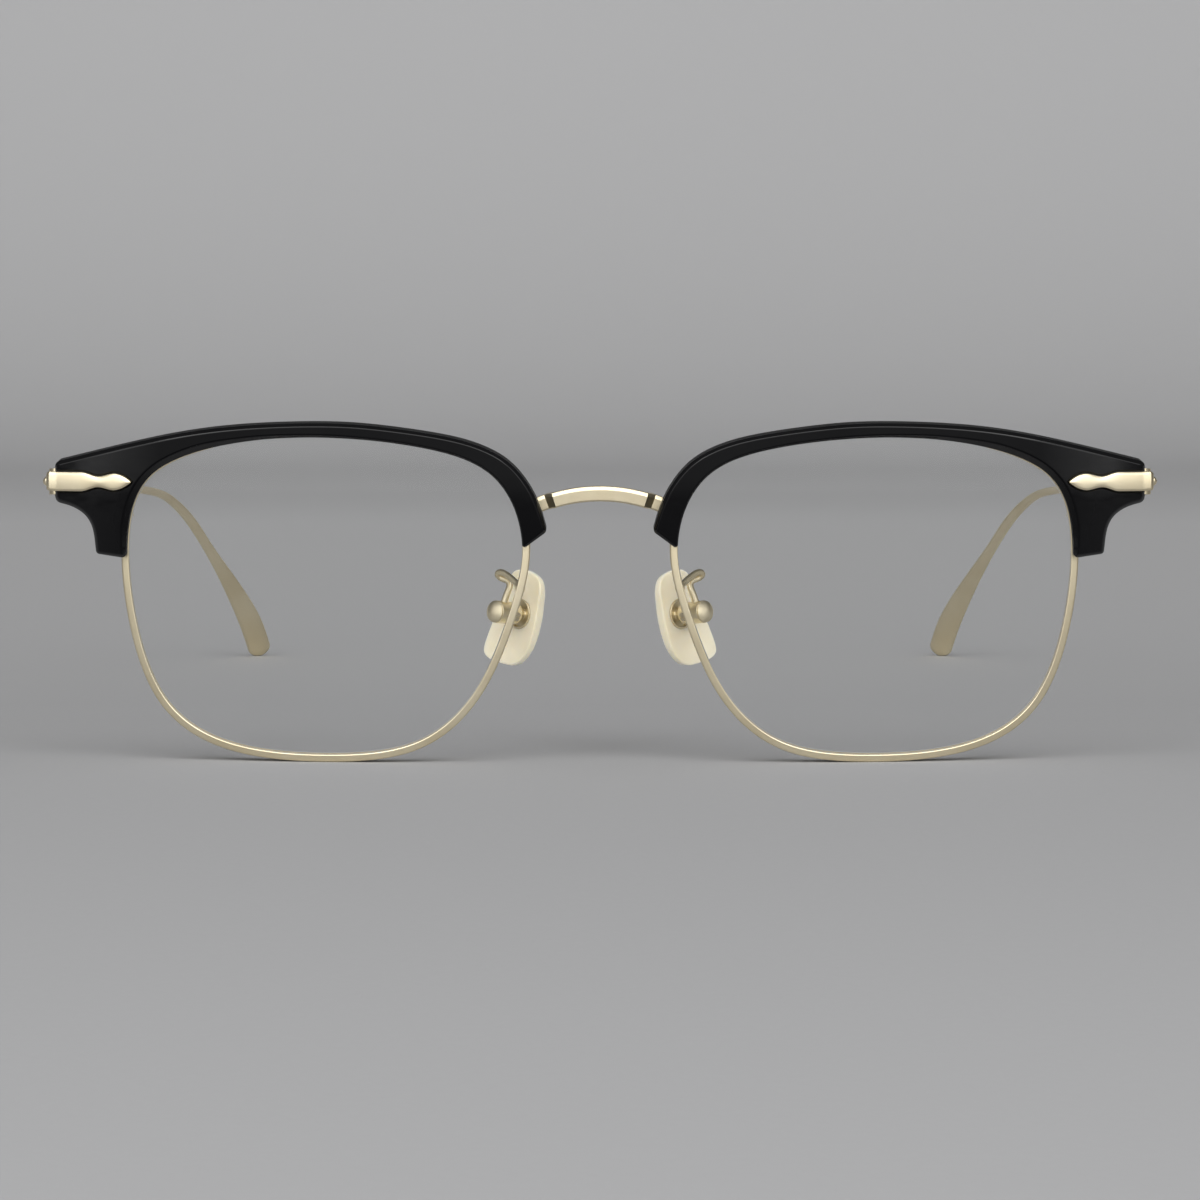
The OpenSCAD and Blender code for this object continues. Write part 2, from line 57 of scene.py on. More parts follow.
front = {
    "baseRadius": 130.0,        # ball that lenses and rims are bent to
    "wrapAngle": 4.0,
    "lean": 4.0,
    "hingeTurn": -8.0,
    "eyeMiddle": Vector((34.8, 21.5)),
    "hingePlace": Vector((71.0, 11.0, 35.43)),
}


def turnBy(degrees, axis):
    return Matrix.Rotation(math.radians(degrees), 4, axis)


wrap = math.radians(front["wrapAngle"])
ballCentre = Vector((front["eyeMiddle"].x - front["baseRadius"] * math.sin(wrap),
                     front["baseRadius"] * math.cos(wrap), front["eyeMiddle"].y))
leanTurn = turnBy(front["lean"], "X")
joints = {joint["name"]: joint for joint in frame["joints"]}
hingeRow = Vector(joints["temple_left_fold"]["pos_m"]) / mm
frontToRow = (Matrix.Scale(mm, 4) @ Matrix.Translation(hingeRow - leanTurn @ front["hingePlace"])
              @ leanTurn)
mirrorTurn = Matrix.Diagonal((-1, 1, 1, 1))
sideFrames = {"left": frontToRow, "right": frontToRow @ mirrorTurn}
hingeFrame = Matrix.Translation(front["hingePlace"]) @ turnBy(front["hingeTurn"], "X")

padPlan = {
    "place": Vector((10.58, 6.5, 18.6)),
    "lean": -16.0,
    "splay": -46.0,
    "pivot": 2.2,
}
padFrame = (Matrix.Translation(padPlan["place"]) @ turnBy(padPlan["lean"], "Y")
            @ turnBy(padPlan["splay"], "Z"))


# Point of the front at (across, up), ahead of the lens surface
def onShell(place, ahead):
    across = place[0] - ballCentre.x
    up = place[1] - ballCentre.z
    radius = front["baseRadius"] + ahead
    return Vector((place[0], ballCentre.y - math.sqrt(radius ** 2 - across ** 2 - up ** 2), place[1]))


# Frame whose +Z points forward, square to the shell
def squareToShell(place, ahead):
    foot = onShell(place, 0)
    way = (foot - ballCentre).normalized()
    turn = way.to_track_quat("Z", "Y").to_matrix().to_4x4()
    return Matrix.Translation(ballCentre + way * (front["baseRadius"] + ahead)) @ turn


# Curves

def rampUp(x, low, high):
    t = max(0.0, min(1.0, (x - low) / (high - low)))
    return t * t * (3 - 2 * t)


def mixed(a, b, t):
    return a + (b - a) * t


# Value at x from rows of (x, value), straight between them
def stepped(x, table):
    for (x0, v0), (x1, v1) in zip(table, table[1:]):
        if x <= x1:
            return mixed(v0, v1, max(0.0, min(1.0, (x - x0) / (x1 - x0))))
    return table[-1][1]


def smoothSlopes(points, closed, rounds=14):
    n = len(points)

    def after(i):
        return points[(i + 1) % n] if closed else points[min(i + 1, n - 1)]

    def before(i):
        return points[(i - 1) % n] if closed else points[max(i - 1, 0)]

    slopes = [(after(i) - before(i)) / (2 if closed or 0 < i < n - 1 else 1) for i in range(n)]
    for _ in range(rounds):
        old = slopes
        slopes = []
        for i in range(n):
            if closed or 0 < i < n - 1:
                slopes.append((3 * (after(i) - before(i)) - old[(i + 1) % n] - old[i - 1]) / 4)
            elif i == 0:
                slopes.append((3 * (points[1] - points[0]) - old[1]) / 2)
            else:
                slopes.append((3 * (points[-1] - points[-2]) - old[-2]) / 2)
    return slopes


def alongCurve(points, slopes, place, closed):
    n = len(points)
    i = math.floor(place) % n if closed else min(math.floor(place), n - 2)
    j = (i + 1) % n
    t = place - math.floor(place) if closed else place - i
    return (points[i] * ((1 + 2 * t) * (1 - t) ** 2) + points[j] * (t * t * (3 - 2 * t))
            + slopes[i] * (t * (1 - t) ** 2) - slopes[j] * (t * t * (1 - t)))


def smoothCurve(points, steps, closed):
    points = [Vector(p) for p in points]
    slopes = smoothSlopes(points, closed)
    last = len(points) * steps - 1 if closed else (len(points) - 1) * steps
    return [alongCurve(points, slopes, k / steps, closed) for k in range(last + 1)]


# Arc that rounds the corner at b between a and c
def cornerArc(a, b, c, radius, steps):
    a, b, c = Vector(a), Vector(b), Vector(c)
    u = (a - b).normalized()
    v = (c - b).normalized()
    half = math.acos(u.dot(v)) / 2
    middle = b + (u + v).normalized() * radius / math.sin(half)
    start = b + u * radius / math.tan(half) - middle
    stop = b + v * radius / math.tan(half) - middle
    turn = math.atan2(start.x * stop.y - start.y * stop.x, start.dot(stop))
    return [middle + Matrix.Rotation(turn * k / steps, 2) @ start for k in range(steps + 1)]


# Closed outline with each corner rounded off; no corner takes half of a side
def softLoop(corners, radius, steps=3):
    most = 0.45
    loop = []
    n = len(corners)
    for i in range(n):
        a, b, c = (Vector(corners[j % n]) for j in (i - 1, i, i + 1))
        cut = min(radius, (a - b).length * most, (c - b).length * most)
        p = b + (a - b).normalized() * cut
        q = b + (c - b).normalized() * cut
        for k in range(steps + 1):
            t = k / steps
            loop.append(p * (1 - t) ** 2 + b * 2 * t * (1 - t) + q * t * t)
    return loop


# Unit ways to the inside of a closed loop that runs clockwise
def inwardWays(loop):
    n = len(loop)
    ways = []
    for i in range(n):
        along = loop[(i + 1) % n] - loop[i - 1]
        ways.append(Vector((along.y, -along.x)).normalized())
    return ways


# Meshes: a shape is a list of points and a list of faces

def skinned(rings, wrapped=False, capped=True):
    n = len(rings[0])
    points = [p for ring in rings for p in ring]
    faces = []
    count = len(rings)
    for r in range(count if wrapped else count - 1):
        s = (r + 1) % count
        for k in range(n):
            m = (k + 1) % n
            faces.append((r * n + k, r * n + m, s * n + m, s * n + k))
    if capped and not wrapped:
        faces.append(tuple(range(n - 1, -1, -1)))
        faces.append(tuple((count - 1) * n + k for k in range(n)))
    return points, faces


# Profile of (radius, height) turned about +Z
def turned(profile, count, wrapped):
    rings = []
    for radius, height in profile:
        rings.append([Vector((radius * math.cos(math.tau * k / count),
                              radius * math.sin(math.tau * k / count), height))
                      for k in range(count)])
    return skinned(rings, wrapped, capped=False)


def moved(shape, frameTurn):
    return [frameTurn @ p for p in shape[0]], shape[1]


def joined(*shapes):
    points, faces = [], []
    for shapePoints, shapeFaces in shapes:
        start = len(points)
        points += shapePoints
        faces += [tuple(i + start for i in face) for face in shapeFaces]
    return points, faces


def softBox(low, high, edge):
    low, high = Vector(low), Vector(high)
    made = bmesh.new()
    bmesh.ops.create_cube(made, size=1)
    for vert in made.verts:
        vert.co = Vector(((low[i] + high[i]) / 2 + vert.co[i] * (high[i] - low[i])) for i in range(3))
    bmesh.ops.bevel(made, geom=list(made.edges), offset=edge, segments=3, profile=0.6, affect="EDGES")
    made.verts.index_update()
    shape = [v.co.copy() for v in made.verts], [tuple(v.index for v in f.verts) for f in made.faces]
    made.free()
    return shape


# Mesh of a shape, with doubled points welded and all faces turned outwards
def meshOf(shape):
    weld = 2e-4
    sliver = 1e-5
    mesh = bpy.data.meshes.new("work")
    mesh.from_pydata([tuple(p) for p in shape[0]], [], shape[1])
    clean = bmesh.new()
    clean.from_mesh(mesh)
    bmesh.ops.remove_doubles(clean, verts=clean.verts, dist=weld)
    bmesh.ops.dissolve_degenerate(clean, edges=clean.edges, dist=sliver)
    bmesh.ops.recalc_face_normals(clean, faces=clean.faces)
    clean.to_mesh(mesh)
    clean.free()
    return mesh


def shown(name, data):
    item = bpy.data.objects.new(name, data)
    bpy.context.scene.collection.objects.link(item)
    return item


# Mesh with each cutter taken away
def carved(mesh, cutters):
    for cutter in cutters:
        body = shown("body", mesh)
        knife = shown("knife", meshOf(cutter))
        cut = body.modifiers.new("cut", "BOOLEAN")
        cut.object = knife
        cut.solver = "EXACT"
        graph = bpy.context.evaluated_depsgraph_get()
        mesh = bpy.data.meshes.new_from_object(body.evaluated_get(graph))
        for item in (body, knife):
            bpy.data.objects.remove(item)
    return mesh


# Smooth shading in which large faces rule, broken at sharp edges; faces on a ball get its normals
def shadeByArea(mesh, sharpAngle, balls=()):
    near = 3e-6     # metres off the ball at which a point still counts as on it
    limit = math.cos(math.radians(sharpAngle))
    ways = [p.normal.copy() for p in mesh.polygons]
    sizes = [p.area for p in mesh.polygons]
    around = [[] for _ in mesh.vertices]
    for p in mesh.polygons:
        for v in p.vertices:
            around[v].append(p.index)
    normals = [None] * len(mesh.loops)
    for p in mesh.polygons:
        ball = None
        for centre, radius in balls:
            if all(abs((mesh.vertices[v].co - centre).length - radius) < near for v in p.vertices):
                ball = centre
        for loop in p.loop_indices:
            v = mesh.loops[loop].vertex_index
            if ball is not None:
                out = (mesh.vertices[v].co - ball).normalized()
                normals[loop] = out if out.dot(ways[p.index]) > 0 else -out
                continue
            total = Vector((0, 0, 0))
            for q in around[v]:
                if ways[q].dot(ways[p.index]) > limit:
                    total += ways[q] * sizes[q]
            normals[loop] = total.normalized() if total.length > 0 else ways[p.index]
    mesh.polygons.foreach_set("use_smooth", [True] * len(mesh.polygons))
    mesh.normals_split_custom_set(normals)
    mesh.update()


finishes = {}       # the material of each slot


# A piece that rides on a body and takes the place of the node with its name
def place(name, mesh, frameTurn, body, slotName, sharp=38, balls=()):
    made = mesh.copy()
    made.name = name
    made.transform(frameTurn)
    if frameTurn.determinant() < 0:
        made.flip_normals()
    made.materials.clear()
    made.materials.append(finishes[slotName])
    rowBalls = [(frameTurn @ centre, radius * mm) for centre, radius in balls]
    shadeByArea(made, sharp, rowBalls)
    piece = shown(name, made)
    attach(piece, body)
    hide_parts(name)


# One mesh for both sides; the piece and its body get the side's name
def placePair(name, mesh, body, slotName, **more):
    for side, turn in sideFrames.items():
        sideBody = body if body == "front" else body + "_" + side
        place(name + "_" + side, mesh, turn, sideBody, slotName, **more)


# Materials: a noise is given by its cycles per metre, its detail and how it is stretched

# Sets inputs of a node, each to a value or to what another node gives
def feed(node, inputs):
    for name, value in inputs.items():
        if isinstance(value, bpy.types.NodeSocket):
            node.id_data.links.new(value, node.inputs[name])
        else:
            node.inputs[name].default_value = value
    return node


def nodeOf(tree, kind, inputs):
    return feed(tree.nodes.new("ShaderNode" + kind), inputs)


def nodeMaterial(name):
    material = bpy.data.materials.new(name)
    material.use_nodes = True
    tree = material.node_tree
    return material, tree, tree.nodes["Principled BSDF"]


def noiseOn(tree, scale, detail, stretch=(1, 1, 1)):
    spot = nodeOf(tree, "TexCoord", {}).outputs["Object"]
    mapped = nodeOf(tree, "Mapping", {"Vector": spot, "Scale": stretch}).outputs["Vector"]
    noise = nodeOf(tree, "TexNoise", {"Vector": mapped, "Scale": scale, "Detail": detail})
    return noise.outputs["Fac"]


def rangeOf(tree, value, low, high, fromLow=0.3, fromHigh=0.7):
    node = nodeOf(tree, "MapRange", {"Value": value, "From Min": fromLow, "From Max": fromHigh,
                                     "To Min": low, "To Max": high})
    return node.outputs["Result"]


def mixOf(tree, kind, factor, a, b):
    node = tree.nodes.new("ShaderNodeMix")
    node.data_type = kind
    return feed(node, {"Factor": factor, "A": a, "B": b}).outputs["Result"]


# Colour that a noise moves between two tones
def toneOf(tree, look):
    node = nodeOf(tree, "ValToRGB", {"Fac": noiseOn(tree, *look["cloud"])})
    for element, position, tone in zip(node.color_ramp.elements, (0.3, 0.7), look["tones"]):
        element.position = position
        element.color = (*tone, 1)
    return node.outputs["Color"]


# Roughness that a noise moves within its range
def roughOf(tree, look):
    return rangeOf(tree, noiseOn(tree, *look["rubbed"]), *look["roughness"])


def bumpOf(tree, noise, bump):
    distance, strength = bump
    node = nodeOf(tree, "Bump", {"Height": noiseOn(tree, *noise), "Distance": distance,
                                 "Strength": strength})
    return node.outputs["Normal"]


def metalMaterial(name, look):
    material, tree, shader = nodeMaterial(name)
    feed(shader, {"Metallic": 1.0, "Base Color": toneOf(tree, look), "Roughness": roughOf(tree, look),
                  "Normal": bumpOf(tree, look["rubbed"], look["bump"])})
    return material


champagneLook = {
    "tones": ((0.80, 0.695, 0.475), (0.88, 0.785, 0.57)),
    "cloud": (160, 3),
    "roughness": (0.34, 0.42),
    "rubbed": (5200, 4, (0.25, 1, 1)),
    "bump": (0.00001, 0.14),    # depth in metres, and strength
}
screwLook = {
    "tones": ((0.68, 0.60, 0.44), (0.78, 0.70, 0.54)),
    "cloud": (160, 3),
    "roughness": (0.24, 0.34),
    "rubbed": (9000, 4),
    "bump": (0.00001, 0.2),
}
finishes["champagne_metal"] = metalMaterial("champagne_metal", champagneLook)
finishes["screw_steel"] = metalMaterial("screw_steel", screwLook)

acetateLook = {
    "tones": ((0.0026, 0.0026, 0.003), (0.0042, 0.0042, 0.0046)),
    "cloud": (90, 3),
    "roughness": (0.08, 0.15),
    "rubbed": (1400, 5, (0.2, 1, 1)),
    "edgeOn": 0.62,             # roughness of a side that is seen edge on
    "edgeFrom": (0.66, 0.9),
    "gloss": (0.04, 0.5),       # flat on, and where the surface slants away
    "glossFrom": (0.06, 0.2),
    "marks": (700, 2),
    "bump": (0.00002, 0.05),
}


def acetateMaterial(look):
    material, tree, shader = nodeMaterial("black_acetate")
    slant = nodeOf(tree, "LayerWeight", {}).outputs["Facing"]
    # Seen edge on, the fine scratches of the sides dull it
    edgeOn = rangeOf(tree, slant, 0, 1, *look["edgeFrom"])
    feed(shader, {
        "Base Color": toneOf(tree, look),
        "Roughness": mixOf(tree, "FLOAT", edgeOn, roughOf(tree, look), look["edgeOn"]),
        "Specular IOR Level": rangeOf(tree, slant, *look["gloss"], *look["glossFrom"]),
        "Normal": bumpOf(tree, look["marks"], look["bump"]),
    })
    return material


finishes["black_acetate"] = acetateMaterial(acetateLook)

padLook = {
    "tones": ((0.76, 0.685, 0.50), (0.84, 0.765, 0.585)),
    "cloud": (260, 2),
    # painted glow: the lighter tone that the pad's colour takes along its edges
    "edge": (0.97, 0.92, 0.79),
    "edgeBlend": 0.35,
    "edgeFrom": (0.12, 0.6),
    "roughness": (0.16, 0.26),
    "rubbed": (2600, 4),
    "scatter": 0.5,             # share of light that goes in, and how far each colour goes
    "scatterReach": (1.0, 0.85, 0.55),
    "scatterScale": 0.0015,
    "index": 1.45,
    "marks": (900, 2),
    "bump": (0.00002, 0.08),
}


def padMaterial(look):
    material, tree, shader = nodeMaterial("pad_plastic")
    slant = nodeOf(tree, "LayerWeight", {"Blend": look["edgeBlend"]}).outputs["Facing"]
    # Painted glow: the base colour turns to a lighter tone toward the edges, standing in for light that
    # gathers in the thin pad there
    edge = rangeOf(tree, slant, 0, 1, *look["edgeFrom"])
    feed(shader, {
        "Base Color": mixOf(tree, "RGBA", edge, toneOf(tree, look), (*look["edge"], 1)),
        "Roughness": roughOf(tree, look),
        "Subsurface Weight": look["scatter"],
        "Subsurface Radius": look["scatterReach"],
        "Subsurface Scale": look["scatterScale"],
        "IOR": look["index"],
        "Normal": bumpOf(tree, look["marks"], look["bump"]),
    })
    return material


finishes["pad_plastic"] = padMaterial(padLook)

lensLook = {
    "tone": (0.985, 0.99, 0.99, 1),
    "index": 1.16,              # stands for a coat that dims reflections
    "roughness": (0.0, 0.012),
    "rubbed": (300, 3),
}


def lensMaterial(look):
    material, tree, shader = nodeMaterial("lens_clear")
    feed(shader, {"Base Color": look["tone"], "Transmission Weight": 1.0, "IOR": look["index"],
                  "Roughness": roughOf(tree, look)})
    # Light on its way to other pieces passes straight through
    clear = nodeOf(tree, "BsdfTransparent", {})
    shadow = nodeOf(tree, "LightPath", {}).outputs["Is Shadow Ray"]
    choice = nodeOf(tree, "MixShader", {0: shadow, 1: shader.outputs["BSDF"], 2: clear.outputs["BSDF"]})
    feed(tree.nodes["Material Output"], {"Surface": choice.outputs["Shader"]})
    return material


finishes["lens_clear"] = lensMaterial(lensLook)
print("stage: materials")

# Eye line, rims and lenses. A spot is a place along the eye line, counted in its points

eyePoints = [Vector(p) for p in (
    (34.2, 43.0), (22.3, 41.7), (13.1, 37.7), (9.5, 28.8), (11.4, 19.1),
    (15.8, 9.2), (23.8, 2.2), (35.6, 0.5), (47.8, 1.7), (56.9, 7.6),
    (60.9, 19.3), (61.3, 30.5), (57.2, 38.3), (46.3, 42.2))]
eyeSlopes = smoothSlopes(eyePoints, True)
eyeTurns = len(eyePoints)


# Point beside the eye line, outward by an amount
def eyeEdge(spot, amount):
    step = 0.01
    along = (alongCurve(eyePoints, eyeSlopes, spot + step, True)
             - alongCurve(eyePoints, eyeSlopes, spot - step, True)).normalized()
    return alongCurve(eyePoints, eyeSlopes, spot, True) + amount * Vector((along.y, -along.x))


# Spot between start and stop at which a test stops being true
def turningSpot(start, stop, test):
    for _ in range(40):
        spot = (start + stop) / 2
        if test(spot):
            start = spot
        else:
            stop = spot
    return spot


rimPlan = {
    "halfWidth": 0.5,
    "halfDepth": 1.0,
    "edge": 0.26,
    "grooveMouth": 0.6,
    "grooveFloor": (0.04, 0.32),    # how far from the middle, and half its width
    "steps": 336,
    "lockLevel": 33.2,
    "lockSpots": (10.5, 12.0),      # the lock lies between these
    "lockGap": 0.06,                # the lock is screwed tight
}


def rimEnd(rise):
    level = rimPlan["lockLevel"] + rise
    return turningSpot(*rimPlan["lockSpots"], lambda spot: eyeEdge(spot, 0).y < level)


def rimShape():
    wide, deep, mouth = rimPlan["halfWidth"], rimPlan["halfDepth"], rimPlan["grooveMouth"]
    floorAt, floorHalf = rimPlan["grooveFloor"]
    profile = softLoop([(wide, deep), (-wide, deep), (-wide, mouth), (-floorAt, floorHalf),
                        (-floorAt, -floorHalf), (-wide, -mouth), (-wide, -deep), (wide, -deep)],
                       rimPlan["edge"], 4)
    first, last = rimEnd(rimPlan["lockGap"] / 2), rimEnd(-rimPlan["lockGap"] / 2) + eyeTurns
    rings = []
    for k in range(rimPlan["steps"] + 1):
        spot = mixed(first, last, k / rimPlan["steps"])
        rings.append([onShell(eyeEdge(spot, amount), ahead) for amount, ahead in profile])
    return skinned(rings)


placePair("rim", meshOf(rimShape()), "front", "champagne_metal", sharp=50)

lensPlan = {
    "half": 0.8,                # half of its thickness
    "bevelFrom": -0.56,         # from the eye line to the foot of its bevel, and to the tip
    "bevelTip": -0.1,
    "tipHalf": 0.16,
    "rings": 16,
    "around": 224,
}


def lensShape():
    half, tipHalf, count = lensPlan["half"], lensPlan["tipHalf"], lensPlan["around"]
    outline, tip = ([eyeEdge(eyeTurns * k / count, lensPlan[edge]) for k in range(count)]
                    for edge in ("bevelFrom", "bevelTip"))
    shares = [k / lensPlan["rings"] for k in range(lensPlan["rings"] + 1)]

    def ring(share, ahead):
        return [onShell(mixed(front["eyeMiddle"], p, share), ahead) for p in outline]

    rings = [ring(share, half) for share in shares]
    rings += [[onShell(p, ahead) for p in tip] for ahead in (tipHalf, -tipHalf)]
    rings += [ring(share, -half) for share in shares[::-1]]
    return skinned(rings, capped=False)


lensBalls = [(ballCentre, front["baseRadius"] + side * lensPlan["half"]) for side in (1, -1)]
placePair("lens", meshOf(lensShape()), "front", "lens_clear", balls=lensBalls)
print("stage: rims and lenses")

# Brow pieces

browPlan = {
    "front": 2.8,
    "back": -0.4,
    "ledge": 1.05,              # where the rebate for the rim begins, behind the face
    "innerSides": [(40.0, -0.48), (57.0, -0.34)],   # from the eye line to the inner edge, by place across
    "rebateSide": 0.56,
    "spots": (12.1, 11.35),     # across from the outer corners
    "noseSpots": (16.6, 17.6),  # the nose end and the leg's end cut the inner edge between these
    "legSpots": (10.4, 11.0),
    "endShifts": (-0.05, 0.04),
    "noseTip": (9.75, 28.4),
    "noseCorner": (6.8, 30.5),
    "top": [(7.05, 31.4), (7.7, 33.5), (9.0, 36.2), (11.6, 39.3), (15.4, 41.45), (20.6, 42.85),
            (28.3, 43.95), (36.0, 44.35), (46.4, 43.85), (57.0, 42.15), (69.6, 38.9)],
    "topCorner": (70.7, 38.6),
    "lowCorner": (70.7, 33.5),
    "under": [(69.9, 33.3), (68.2, 32.85), (66.5, 31.75), (65.6, 30.0), (65.3, 27.9)],
    "legOuter": (65.2, 27.0),
    "legInner": (61.1, 26.55),
    "turns": {"nose": 0.6, "tip": 0.35, "leg": 0.5, "toe": 0.6, "end": 0.85},
    "steps": {"top": 12, "end": 10, "side": 8, "under": 8, "cut": 5, "corner": 3, "bend": 14},
    "backEdge": 0.12,
    "backCrest": 0.03,
}
# Width and drop of the bevel: outside by share of the way, inside by the place across
bevelPlan = {
    "outer": [(0.0, 0.34), (0.08, 0.40), (0.55, 0.43), (0.8, 0.43), (0.92, 0.40), (1.0, 0.28)],
    "inner": [(9.0, 0.17), (12.0, 0.21), (30.0, 0.26), (40.0, 0.40), (47.0, 0.62), (51.0, 0.84),
              (70.0, 0.84)],
    "leg": [(26.6, 0.42), (28.0, 0.7), (30.5, 1.0)],    # share of the inner width, by height
    "narrow": 0.5,              # up to this width it drops by dropShare, and then less
    "dropShare": 1.15,
    "wideShare": 0.45,
    "crest": 0.17,
    "crestShare": 0.6,
    "below": Vector((0, -0.04)),
    "turn": Vector((0.012, -0.008)),
    "rise": 0.05,
}


def browInner(spot):
    return eyeEdge(spot, stepped(eyeEdge(spot, 0).x, browPlan["innerSides"]))


def browRebate(spot):
    return eyeEdge(spot, browPlan["rebateSide"])


# Spot between two others at which an edge crosses the line through a and b
def crossing(spots, a, b, edgeAt):
    a, b = Vector(a), Vector(b)
    square = Vector(((b - a).y, -(b - a).x))
    below = square.dot(edgeAt(spots[0]) - a) < 0
    return turningSpot(*spots, lambda spot: (square.dot(edgeAt(spot) - a) < 0) == below)


def browEnds(edgeAt):
    b = browPlan
    return (crossing(b["noseSpots"], b["noseTip"], b["noseCorner"], edgeAt),
            crossing(b["legSpots"], b["legOuter"], b["legInner"], edgeAt))


# Outer edge from nose to leg, the small corners, marks of the outer corners, spots of the inner ends
def browStations():
    b = browPlan
    turns, steps = b["turns"], b["steps"]
    h = steps["corner"]
    beside = 0.1
    noseAt, legAt = browEnds(browInner)
    nosePoint, legPoint = browInner(noseAt), browInner(legAt)
    places = {
        "nose": (nosePoint, b["noseCorner"], b["top"][0]),
        "leg": (b["under"][-1], b["legOuter"], legPoint),
        "tip": (browInner(noseAt - beside), nosePoint, b["noseCorner"]),
        "toe": (b["legOuter"], legPoint, browInner(legAt + beside)),
    }
    corners = {name: cornerArc(*spots, turns[name], 2 * h) for name, spots in places.items()}
    topTurn = cornerArc(b["top"][-1], b["topCorner"], b["lowCorner"], turns["end"], steps["end"])
    lowTurn = cornerArc(b["topCorner"], b["lowCorner"], b["under"][0], turns["end"], steps["end"])
    endLine = [mixed(topTurn[-1], lowTurn[0], k / steps["side"]) for k in range(1, steps["side"])]
    start = corners["nose"][h:] + smoothCurve(b["top"], steps["top"], False)
    under = smoothCurve(b["under"], steps["under"], False)
    outer = start + topTurn + endLine + lowTurn + under + corners["leg"][:h + 1]
    half = steps["end"] // 2
    marks = (0, len(start) + half, len(start) + len(topTurn) + len(endLine) + half, len(outer) - 1)
    return outer, corners, marks, (noseAt + b["endShifts"][0], legAt + b["endShifts"][1])


# Inward ways of a loop that may repeat points
def lineWays(loop):
    same = 1e-6
    kept = [0]
    for i in range(1, len(loop)):
        if (loop[i] - loop[kept[-1]]).length > same:
            kept.append(i)
    ways = inwardWays([loop[i] for i in kept])
    found = []
    at = 0
    for i in range(len(loop)):
        if at + 1 < len(kept) and i >= kept[at + 1]:
            at += 1
        found.append(ways[at])
    return found


# Points up the bevel at one point of the loop: its foot, its slope and its polished crest
def bevelColumn(p, way, width):
    v = bevelPlan
    narrow = v["narrow"]
    drop = width * v["dropShare"] if width < narrow else narrow + (width - narrow) * v["wideShare"]
    crest = min(v["crest"], width * v["crestShare"])
    foot = Vector((0, -drop))
    top = Vector((width, 0))
    beside = top + (foot - top) * crest / math.hypot(width, drop)
    past = top + Vector((crest, 0))
    spots = [foot + v["below"], foot + v["turn"], mixed(foot, top, v["rise"])]
    for t in (0, 0.25, 0.5, 0.75, 1):
        spots.append(beside * (1 - t) ** 2 + top * 2 * t * (1 - t) + past * t * t)
    return [onShell(p + way * spot.x, browPlan["front"] + spot.y) for spot in spots]


